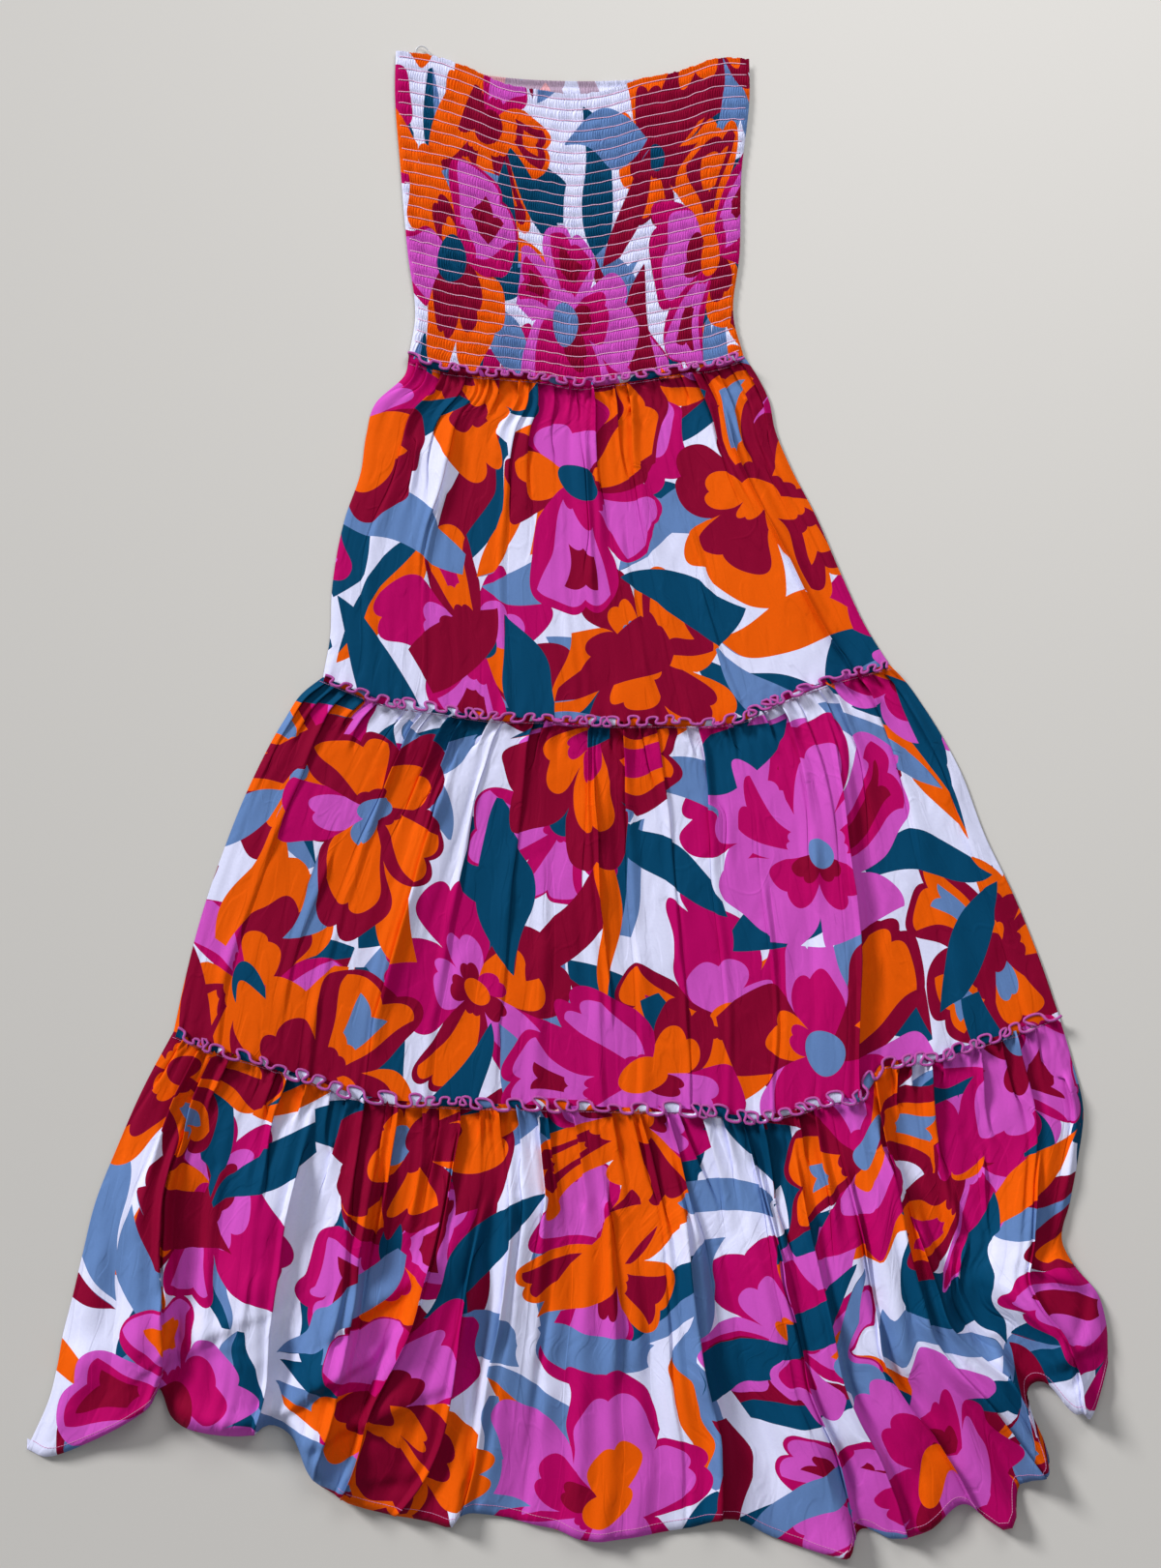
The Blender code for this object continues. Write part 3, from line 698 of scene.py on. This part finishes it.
def fold_shapes(hidden, is_long, deep, gather_tall, low_share, rng, seed):
    """Each fold's height, width of slope and of lip, crispness, and the cloth that its lip takes."""
    down = deep[:, None]
    slope = (6.0 + 0.085 * down) * (0.8 + 0.4 * rng.uniform(0, 1, len(is_long)))[None]
    most = gather_tall * (low_share + (1.0 - low_share) * np.exp(-down / 55.0))
    most = most * (0.15 + 0.85 * np.minimum(hidden / (hidden.mean(axis=1, keepdims=True) + 0.1), 2.2))
    most = np.where(is_long[None], LONG_FOLD_MORE * gather_tall, most)
    uneven = [0.8 + 0.45 * soft_noise(deep / 32.0 + 5.3 * k, deep * 0 + k, seed + 6)
              for k in range(len(is_long))]
    tall = np.minimum(np.sqrt(0.42 * 2.0 * slope * np.maximum(hidden, 0.0)), most) * np.stack(uneven, axis=1)
    tall = tall * (0.4 + 0.6 * smooth(down / 11.0))
    crisp = smooth((hidden - CRISP_CLOTH[0]) / (CRISP_CLOTH[1] - CRISP_CLOTH[0]))
    crisp = crisp * np.where(is_long[None], 1.0, 1.0 - 0.85 * smooth((down - 50.0) / 110.0))
    lip = slope * 0.85 * (1.0 - crisp) - LIP_BACK * crisp
    room = 1.5 * np.maximum(lip, 0.0) + hidden * smooth(-lip / 0.7)
    in_lip = np.minimum(hidden * (0.5 + 0.5 * crisp), room)
    return tall, slope, lip, crisp, in_lip


def cross_sections(crest, hidden, fallen, visible, shapes):
    """The cloth along each row from edge to edge: mm across, height, and mm of flat cloth.

    Each fold has a long slope on one side. On the other, a lip falls back under the crest.
    """
    tall, slope, lip, crisp, in_lip = shapes
    count = len(fallen)
    nothing = np.zeros(SKIRT_ROWS)

    def one_side(k, way):
        """The width, cloth, bulge and dip of fold k on its left (-1) or right (1)."""
        if not 0 <= k < count:
            return nothing, nothing, nothing, nothing
        if fallen[k] == way:
            return lip[:, k], in_lip[:, k], LIP_BULGE * crisp[:, k], POCKET_DEEP * crisp[:, k]
        return slope[:, k], hidden[:, k] - in_lip[:, k], nothing, nothing

    def down_the_side(k, middle, way, wide, cloth, bulge, dip, before):
        """One side's columns, from the crest outwards."""
        for f in LIP:
            given = f + (max(f - 0.45, 0.0) / 0.55 - f) * crisp[:, k]
            taken_there = cloth * given if way > 0 else cloth * (1 - given)
            yield (middle + way * (wide * f + bulge * math.sin(math.pi * f)),
                   (tall[:, k] + dip) * 0.5 * (1 + math.cos(math.pi * f)) - dip,
                   middle + way * np.maximum(wide, 0) * f + before + taken_there)

    columns = []
    taken = nothing
    for k in range(count + 1):
        left = crest[:, k - 1] if k else nothing
        right = crest[:, k] if k < count else visible
        wide_left, cloth_left, bulge_left, dip_left = one_side(k - 1, 1.0)
        wide_right, cloth_right, bulge_right, dip_right = one_side(k, -1.0)
        fit = np.minimum(1.0, 0.94 * (right - left) / np.maximum(wide_left + wide_right, 1e-3))
        wide_left = np.where(wide_left > 0, wide_left * fit, wide_left)
        wide_right = np.where(wide_right > 0, wide_right * fit, wide_right)
        if k:
            columns += down_the_side(k - 1, left, 1.0, wide_left, cloth_left, bulge_left, dip_left, taken)
            taken = taken + cloth_left
        start = left + wide_left
        end = right - wide_right
        for f in FLAT if k < count else FLAT + TO_EDGE:
            dip = dip_left * (1.0 - smooth(f / 0.5)) + dip_right * smooth((f - 0.5) / 0.5)
            columns.append((start + (end - start) * f, -dip, start + (end - start) * f + taken))
        if k < count:
            columns += list(down_the_side(k, right, -1.0, wide_right, cloth_right, bulge_right, dip_right,
                                          taken))[::-1]
            taken = taken + cloth_right
            columns.append((right, tall[:, k], right + taken))
    return (np.stack(parts, axis=1) for parts in zip(*columns))


def swells_and_crinkles(place_m, flat_y, swell, seed):
    """The cloth's broad, soft waves and the faint crinkles on them."""
    z = swell * soft_noise(place_m / SWELL_APART[0], flat_y / SWELL_APART[1], seed + 1)
    z = z * smooth(flat_y / 60.0)
    askew = place_m + 9.0 * soft_noise(place_m / 60.0, flat_y / 50.0, seed + 3)
    across = askew / CRINKLE_APART[0]
    crinkle = np.abs(soft_noise(across, flat_y / CRINKLE_APART[1] + place_m / 140.0, seed + 4))
    return z + CRINKLE_TALL * (0.5 - crinkle) * smooth(flat_y / 25.0)


def fine_gathers(s, flat_y, seam_wide, seed):
    """The finest gathers, right below the seam, each of its own length and height."""
    at = s * seam_wide
    ruche = seam_wide / RUCHE_APART * s + 1.0 * soft_noise(at / 14.0, flat_y / 22.0, seed + 7)
    long = RUCHE_LONG[0] + RUCHE_LONG[1] * soft_noise(at / 9.0, s * 0.0, seed + 8)
    tall = RUCHE_TALL[0] + RUCHE_TALL[1] * soft_noise(at / 11.0, s * 0.0, seed + 9)
    return tall * (np.abs(np.sin(math.pi * ruche)) ** 0.7 - 0.6) * np.exp(-((flat_y / long) ** 2))


def rumpled_spots(spots, s, t, hem_wide, long, seed):
    """Small, crossing folds around the spots where the cloth is pushed together."""
    z = 0.0
    for at_s, at_t, spread, tall in spots:
        away_x, away_y = (s - at_s) * hem_wide, (t - at_t) * long
        fade = np.exp(-(away_x ** 2 + away_y ** 2) / spread ** 2)
        askew = 0.8 * away_x + 0.6 * away_y + 13.0 * soft_noise(away_x / 33.0, away_y / 27.0, seed + 11)
        folds_across = 1.0 - 1.6 * np.abs(soft_noise(askew / 17.0, (away_x - away_y) / 70.0, seed + 10))
        z = z + tall * fade * (0.35 + folds_across)
    return z


def crossing_folds(folds, x, y):
    """The height that short folds across the long ones add, each from one point of the panel to another."""
    height = np.zeros_like(x)
    for row, (x_from, y_from, x_to, y_to, tall, reach_left, reach_right) in enumerate(folds):
        run_x, run_y = x_to - x_from, y_to - y_from
        long = math.hypot(run_x, run_y)
        along = ((x - x_from) * run_x + (y - y_from) * run_y) / long ** 2
        away = ((x - x_from) * run_y - (y - y_from) * run_x) / long
        away = away + 4.0 * soft_noise(along * long / 24.0, along * 0 + row, 51)
        reach = np.where(away < 0, reach_left, reach_right)
        profile = smooth(1.0 - np.abs(away / reach))
        height = np.maximum(height, tall * profile * smooth(np.minimum(along, 1.0 - along) / 0.5))
    return height


def points_where(reached, arrays):
    """The values of some arrays at the place down each column where a measure passes 0."""
    row = np.argmax(reached > 0, axis=0)
    at = np.arange(reached.shape[1])
    share = -reached[row - 1, at] / (reached[row, at] - reached[row - 1, at])
    return row, np.stack([array[row - 1, at] * (1 - share) + array[row, at] * share for array in arrays])


def stitched_line(stretches, name):
    """A sewn line over points on the cloth: a thread that dips into it between the stitches."""
    lines = []
    for place_m, x, y, z in stretches:
        outer = np.maximum.accumulate(place_m) <= place_m + 1e-6
        line = np.stack([x, y, z], axis=1)[outer]
        line = line[np.concatenate([[True], np.linalg.norm(np.diff(line, axis=0), axis=1) > 0.05])]
        along = distances(line)
        spots = np.arange(2.0, along[-1] - 2.0, STITCH_LONG / 4.0)
        line = np.stack([np.interp(spots, along, line[:, axis]) for axis in range(3)], axis=1)
        line[:, 2] += 0.10 + 0.34 * np.cos(math.tau * spots / STITCH_LONG)
        lines.append(line)
    tube(lines, STITCH_RADIUS, 4, name, seam_thread)


def folded_cloth(name, top, bottom, sides, lean, folds, gathers, cut_width, gather_tall, low_share, swell,
                 seed, offset, rumples=(), crossings=(), rolled=None):
    """A gathered tier's front: fine gathers at the seam, long folds below, and cloth hidden in them.

    Only the last tier has a hem, with a stretch that is rolled under. The others end in the next seam.
    """
    def on_panel(s, t):
        """x, y and rise of points of this tier."""
        return panel_points(top, bottom, sides, s, t, lean)

    rng = np.random.default_rng(seed)
    folds = [LongFold(*row) for row in sorted(folds)]
    across, fall = measured_rows(on_panel)
    visible = across[:, -1]
    long = fall[-1].mean()
    deep = DOWN * long
    crest, hidden, claim, fallen, is_long = drawn_crests(folds, gathers, across, deep, rng, seed)
    hidden = share_out_cloth(hidden, claim, crest, cut_width, visible)
    shapes = fold_shapes(hidden, is_long, deep, gather_tall, low_share, rng, seed)
    place_m, place_z, place_u = cross_sections(crest, hidden, fallen, visible, shapes)

    s = row_by_row(place_m, across, [FINE_S] * SKIRT_ROWS)
    t = np.repeat(DOWN[:, None], s.shape[1], axis=1)
    x, y, rise = on_panel(s, t)
    flat_y = row_by_row(s, [FINE_S] * SKIRT_ROWS, fall)
    to_end = np.interp(s, FINE_S, fall[-1]) - flat_y
    z = FRONT_BASE + rise + fold_backs(folds, place_m, across) + place_z
    z = z + swells_and_crinkles(place_m, flat_y, swell, seed) + fine_gathers(s, flat_y, visible[0], seed)
    z = z + rumpled_spots(rumples, s, t, visible[-1], long, seed) + crossing_folds(crossings, x, y)
    if rolled:
        roll = smooth((s - rolled[0]) / 0.02) * smooth((rolled[1] - s) / 0.02)
        z = z + ROLL_TALL * roll * np.exp(-((to_end - 15.0) / 9.0) ** 2)
        z = edge_drop(z, to_end + 1.0, HEM_ROUND[0] + (HEM_ROUND[1] - HEM_ROUND[0]) * roll, 1.2)
    else:
        ripple = np.sin(place_m / 2.1 + 2.0 * soft_noise(place_m / 20.0, flat_y / 40.0, seed + 2))
        z = z + DRAWN_IN_TALL * ripple * np.exp(-to_end / 9.0)
    z = np.maximum(z, LOWEST_FOLD)
    z = edge_drop(z, np.minimum(place_m, visible[:, None] - place_m) + 0.3, 9.0, 1.3)

    _, seam = points_where(flat_y - SEAM_STITCHES, (place_m, x, y, z))
    stitched_line([seam], name + "_seam_stitches")
    if rolled:
        row, hem = points_where(HEM_STITCHES - to_end, (place_m, x, y, z))
        at = s[row, np.arange(len(row))]
        stitched_line([hem[:, at < rolled[0]], hem[:, at > rolled[1]]], name + "_hem_stitches")
        turn = [(x[-1], y[-1] + up, np.maximum(z[-1] + higher, 0.3), place_u[-1], flat_y[-1] + cloth)
                for up, higher, cloth in HEM_TURN]
        x, y, z, place_u, flat_y = (np.vstack([array, *more]) for array, more in
                                    zip((x, y, z, place_u, flat_y), zip(*turn)))
    sheet = cloth_grid(x, y, z, place_u * MM + offset[0], -flat_y * MM + offset[1])
    return as_piece(sheet, name, viscose)


upper_front = folded_cloth(
    "upper_tier_front_cloth", WAIST, UPPER_SEAM, UPPER_SIDES, NO_LEAN, UPPER_FOLDS, gathers=27,
    cut_width=520.0, gather_tall=3.8, low_share=0.24, swell=0.6, seed=21, offset=(1.7, 0.2))
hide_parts("upper_tier_front")


# ---- Middle tier front ----
# The second tier, cut wider than the first and gathered into its lower edge.

LOWER_SEAM = [
    (0.0, -346, -201, 0), (0.05, -308, -216, 2), (0.1, -268, -227, 3), (0.15, -230, -240, 2),
    (0.2, -191, -254, 3), (0.25, -152, -261, 2), (0.3, -112, -263, 1), (0.4, -36, -265, 2),
    (0.5, 42, -267, 2), (0.6, 120, -270, 2), (0.65, 159, -275, 3), (0.7, 198, -269, 5), (0.75, 241, -258, 8),
    (0.7625, 253, -258, 9), (0.775, 263, -245, 6), (0.7875, 274, -230, 2), (0.8, 285, -227, 1),
    (0.85, 318, -223, 2), (0.9, 353, -212, 2), (0.95, 391, -200, 2), (1.0, 430, -184, 0)]
MIDDLE_SIDES = [
    (0, 0, 0), (0.04, -11, 6), (0.12, -18, 12), (0.29, -24, 17), (0.5, -23, 11), (0.66, -19, 11),
    (0.86, -9, 6), (1, 0, 0)]
MIDDLE_FOLDS = [
    (0.27, 0.02, 0.22, 0.80, 4.5, 16, 24, 5), (0.48, 0.02, 0.50, 0.70, 4.0, 22, 14, 5),
    (0.86, 0.05, 0.765, 0.99, 9.0, 46, 10, 16)]

middle_front = folded_cloth(
    "middle_tier_front_cloth", UPPER_SEAM, LOWER_SEAM, MIDDLE_SIDES, NO_LEAN, MIDDLE_FOLDS, gathers=42,
    cut_width=835.0, gather_tall=4.2, low_share=0.36, swell=1.4, seed=22, offset=(2.9, 0.7))
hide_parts("middle_tier_front")


# ---- Lower tier front ----
# The third and widest tier. Its long folds end as waves of the hem, which is rolled under at the left
# and pushed up in a deep fold at the right.

HEM = [
    (0.0000, -475, -568, 0), (0.0250, -452, -573, 3), (0.0500, -405, -553, 10), (0.0750, -365, -527, 11),
    (0.0875, -358, -514, 1), (0.1000, -348, -538, 9), (0.1250, -304, -554, 17), (0.1375, -276, -554, 8),
    (0.1500, -266, -547, 1), (0.1750, -242, -556, 9), (0.2000, -223, -594, 13), (0.2125, -206, -605, 7),
    (0.2500, -180, -618, 1), (0.2875, -123, -630, 6), (0.3250, -99, -632, 11), (0.3375, -94, -625, 1),
    (0.3875, -20, -635, 5), (0.4500, 28, -647, 13), (0.5000, 105, -636, 2), (0.5375, 148, -628, 11),
    (0.5625, 182, -645, 2), (0.5875, 230, -659, 9), (0.6000, 246, -660, 15), (0.6125, 253, -642, 1),
    (0.6500, 285, -645, 5), (0.6875, 316, -637, 13), (0.7250, 350, -615, 2), (0.7500, 377, -636, 9),
    (0.7750, 392, -627, 15), (0.7875, 394, -605, 1), (0.8125, 404, -594, 8), (0.8375, 420, -588, 13),
    (0.8625, 417, -569, 7), (0.8875, 403, -535, 12), (0.9000, 402, -519, 2), (0.9250, 421, -510, 8),
    (0.9375, 437, -529, 13), (0.9625, 450, -534, 16), (0.9875, 462, -531, 9), (1.0000, 474, -492, 3)]
LOWER_SIDES = [
    (0, 0, 0), (0.13, -9, 6), (0.28, -14, 10), (0.41, -16, 0), (0.54, -11, -13), (0.66, -6, -25),
    (0.72, -4, -18), (0.8, 1, -1), (0.87, 4, 3), (1, 0, 0)]
# How far the panel leans sideways at mid height, so that the notches at the right don't turn it over.
HEM_LEAN = [(0, 0), (0.62, 0), (0.81, -38), (0.85, -37), (0.885, -30), (0.92, -20), (0.96, -8), (1, 0)]
ROLLED_HEM = (0.088, 0.215)   # from s to s the hem is rolled under, and its stitches with it
# A rumpled spot: its s and t, how far it spreads, and how tall its small crossing folds are.
RUMPLES = [(0.955, 0.74, 54, 6.5), (0.185, 0.72, 44, 5.0), (0.235, 0.88, 48, 5.0), (0.120, 0.62, 40, 3.5),
           (0.055, 0.80, 52, 3.5), (0.700, 0.80, 62, 2.6)]
# A crossing fold: x and y of its start and of its end, height, and reach to its left and to its right.
CROSSINGS = [
    (-300, -560, -130, -455, 9.5, 34, 8), (-262, -572, -80, -500, 8.5, 26, 8),
    (-240, -480, -100, -400, 6.5, 28, 10), (-372, -500, -270, -440, 5.5, 26, 9),
    (384, -396, 470, -426, 8.0, 24, 9), (400, -500, 480, -462, 6.0, 20, 9)]
LOWER_FOLDS = [
    (0.045, 0.12, 0.078, 1.00, 11.0, 42, 8, 12), (0.165, 0.05, 0.139, 1.00, 12.0, 46, 7, 16),
    (0.237, 0.05, 0.200, 0.95, 10.0, 34, 8, 12), (0.318, 0.06, 0.222, 1.00, 17.0, 8, 44, 20),
    (0.352, 0.22, 0.268, 1.00, 10.0, 30, 8, 12), (0.378, 0.04, 0.335, 1.00, 11.0, 8, 42, 12),
    (0.545, 0.10, 0.528, 1.00, 9.0, 46, 10, 11), (0.640, 0.05, 0.606, 1.00, 14.0, 46, 8, 16),
    (0.692, 0.05, 0.664, 1.00, 12.0, 34, 7, 13), (0.738, 0.05, 0.724, 1.00, 13.0, 32, 8, 13),
    (0.774, 0.02, 0.836, 1.00, 19.0, 36, 9, 20), (0.800, 0.25, 0.890, 1.00, 16.0, 34, 9, 16),
    (0.955, 0.30, 0.948, 1.00, 9.0, 30, 8, 11)]

lower_front = folded_cloth(
    "lower_tier_front_cloth", LOWER_SEAM, HEM, LOWER_SIDES, HEM_LEAN, LOWER_FOLDS, gathers=48,
    cut_width=1180.0, gather_tall=5.8, low_share=0.60, swell=2.0, seed=23, offset=(4.3, 0.1),
    rumples=RUMPLES, crossings=CROSSINGS, rolled=ROLLED_HEM)
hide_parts("lower_tier_front")


# ---- Backs of the three tiers ----
# The same cloth again, smoothed flat under the front. Only the hem's edge shows, in the front's notches.

BACK_HEM = [
    (0.0, -462, -558, 0), (0.1, -346, -506, 0), (0.2, -228, -546, 0), (0.3, -120, -612, 0),
    (0.4, -20, -622, 0), (0.5, 80, -625, 0), (0.6, 180, -625, 0), (0.7, 290, -615, 0), (0.8, 372, -590, 0),
    (0.9, 394, -512, 0), (1.0, 466, -488, 0)]


def back_cloth(name, top, bottom, sides, gathers, cut, seed, offset, node):
    """A tier's back: a flat sheet with low ripples that run down from its gathered seam."""
    s, t = np.meshgrid(np.linspace(0, 1, gathers * 6 + 1), np.linspace(0, 1, 46) ** 1.3)
    x, y, _ = panel_points(top, bottom, sides, s, t)
    x = x + EDGE_INSET * (1 - 2 * s)
    down = t * cut[1] / MM
    ripple = np.sin(math.tau * (gathers * s + 0.6 * soft_noise(s * gathers * 0.5, down / 60.0, seed)))
    z = 0.55 + (0.5 + 0.5 * ripple) * (0.25 + 1.1 * np.exp(-down / 60.0))
    sheet = cloth_grid(x, y, z, s * cut[0] + offset[0], -t * cut[1] + offset[1])
    piece = as_piece(sheet, name, viscose, face_down=True)
    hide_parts(node)


back_cloth("upper_tier_back_cloth", WAIST, UPPER_SEAM, UPPER_SIDES, 28, (0.53, 0.30), 31, (6.1, 0.4),
           "upper_tier_back")
back_cloth("middle_tier_back_cloth", UPPER_SEAM, LOWER_SEAM, MIDDLE_SIDES, 40, (0.84, 0.345), 32, (7.3, 0.9),
           "middle_tier_back")
back_cloth("lower_tier_back_cloth", LOWER_SEAM, BACK_HEM, LOWER_SIDES, 46, (1.08, 0.36), 33, (8.9, 0.3),
           "lower_tier_back")


# ---- Seam frills ----
# The seams' allowances are left on the outside of the dress. Their edges are overlocked with mauve
# thread, stretched as they are sewn, so each stands up in a tight, uneven wave.

FRILL_TALL = 8.5
FRILL_ROWS = 7
FRILL_UP = 1.3               # the frill's foot over the flat front
STITCH_DOWN = 3.6            # the seam's stitch line lies this far below the frill's middle line
ROLL_RADIUS = 1.25
BACK_FRILL_HALF = 3.8        # half the width of the back's pressed frills
WAVE_BLUR = 17               # this many points along a frill are blended, to round its waves

overlock = thread_material("mauve_overlock_thread", srgb(192, 70, 170), 0.0011, 0.65)


def frill(name, seam, waves, swing, seed, offset):
    """A standing, wavy strip of cloth along a seam, with a roll of overlock thread on its edge."""
    rng = np.random.default_rng(seed)
    wide = rng.uniform(0.35, 1.9, waves)
    knots = running_total(wide) / wide.sum()
    s = np.linspace(0.004, 0.996, waves * 20)
    x, y, rise = curve_through(seam, s)
    along = running_total(np.hypot(np.diff(x), np.diff(y)))
    down_x, down_y = -np.gradient(y), np.gradient(x)
    long = np.hypot(down_x, down_y)
    up_x, up_y = down_x / long, down_y / long
    wave = np.interp(s, knots, np.arange(waves + 1))
    size, topple, middle = (np.interp(wave, np.arange(waves + 1), rng.uniform(low, high, waves + 1))
                            for low, high in ((0.4, 1.15), (-0.9, 0.9), (-0.35, 0.35)))
    phase = math.tau * blurred(wave, WAVE_BLUR)
    lean = 0.5 + swing * (size * np.sin(phase) + middle)
    sideways = swing * (0.55 * size * np.sin(2 * phase) + topple * size * np.sin(phase))
    rows = np.linspace(0, 1, FRILL_ROWS)[:, None]
    out = -STITCH_DOWN + (STITCH_DOWN + lean)[None] * rows ** 1.2
    grid_x = x[None] + up_x[None] * out - up_y[None] * sideways[None] * rows ** 1.6
    grid_y = y[None] + up_y[None] * out + up_x[None] * sideways[None] * rows ** 1.6
    reach = np.minimum(np.hypot(STITCH_DOWN + lean, sideways), 0.93 * FRILL_TALL)
    stand = np.maximum(np.sqrt(FRILL_TALL ** 2 - reach ** 2) - 1.2, 1.8)
    grid_z = (FRONT_BASE + rise + FRILL_UP)[None] + stand[None] * rows ** 0.8
    flat_x = np.repeat(along[None] * 1.7 * MM, FRILL_ROWS, axis=0) + offset[0]
    flat_y = np.repeat(rows[::-1] * FRILL_TALL * MM, len(s), axis=1) + offset[1]
    sheet = cloth_grid(grid_x[::-1], grid_y[::-1], grid_z[::-1], flat_x, flat_y)
    cloth = as_piece(sheet, name + "_cloth", viscose)
    path = np.stack([grid_x[-1], grid_y[-1], grid_z[-1]], axis=1)
    roll = tube([path], ROLL_RADIUS, 8, name + "_overlock", overlock)
    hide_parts(name)


frill("waist_frill", WAIST, 22, 3.4, 41, (10.1, 0.1))
frill("upper_seam_frill", UPPER_SEAM, 36, 4.5, 42, (11.2, 0.3))
frill("lower_seam_frill", LOWER_SEAM, 48, 5.6, 43, (12.3, 0.5))

for name, seam in (("waist_frill_back", WAIST), ("upper_seam_frill_back", UPPER_SEAM),
                   ("lower_seam_frill_back", LOWER_SEAM)):
    s, f = np.meshgrid(np.linspace(0.012, 0.988, 161), np.linspace(-1, 1, 5))
    x, y, _ = curve_through(seam, s)
    z = 0.35 + 0.25 * (1 + np.sin(s * 260.0))
    sheet = cloth_grid(x, y - BACK_FRILL_HALF * f, z, s * 0.9, -f * 0.004)
    strip = as_piece(sheet, name + "_cloth", viscose, face_down=True)
    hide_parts(name)


# ---- Hanger loop ----
# A short loop of clear elastic tape, sewn in at the top of the side seam. It keeps its solid's shape.

clear_tape, tape_shader = new_material("clear_tape")
tree = clear_tape.node_tree
place = wired(tree, "TexCoord", {}, output="Object")
haze = wired(tree, "TexNoise", {"Vector": place, "Scale": 210.0, "Detail": 3.0})
ribs = wired(tree, "TexWave", {"Vector": place, "Scale": 380.0, "Distortion": 1.4}, output="Fac",
             bands_direction='DIAGONAL')
tint = mix_colour(tree, haze, srgb(208, 210, 216), srgb(240, 240, 244))
bump = wired(tree, "Bump", {"Height": ribs, "Strength": 0.4, "Distance": 0.0002})
feed(tape_shader, {"Base Color": tint, "Normal": bump, "Roughness": 0.3, "Transmission Weight": 0.35})
loop_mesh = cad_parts["hanger_loop"].data
loop_mesh.materials.clear()
loop_mesh.materials.append(clear_tape)
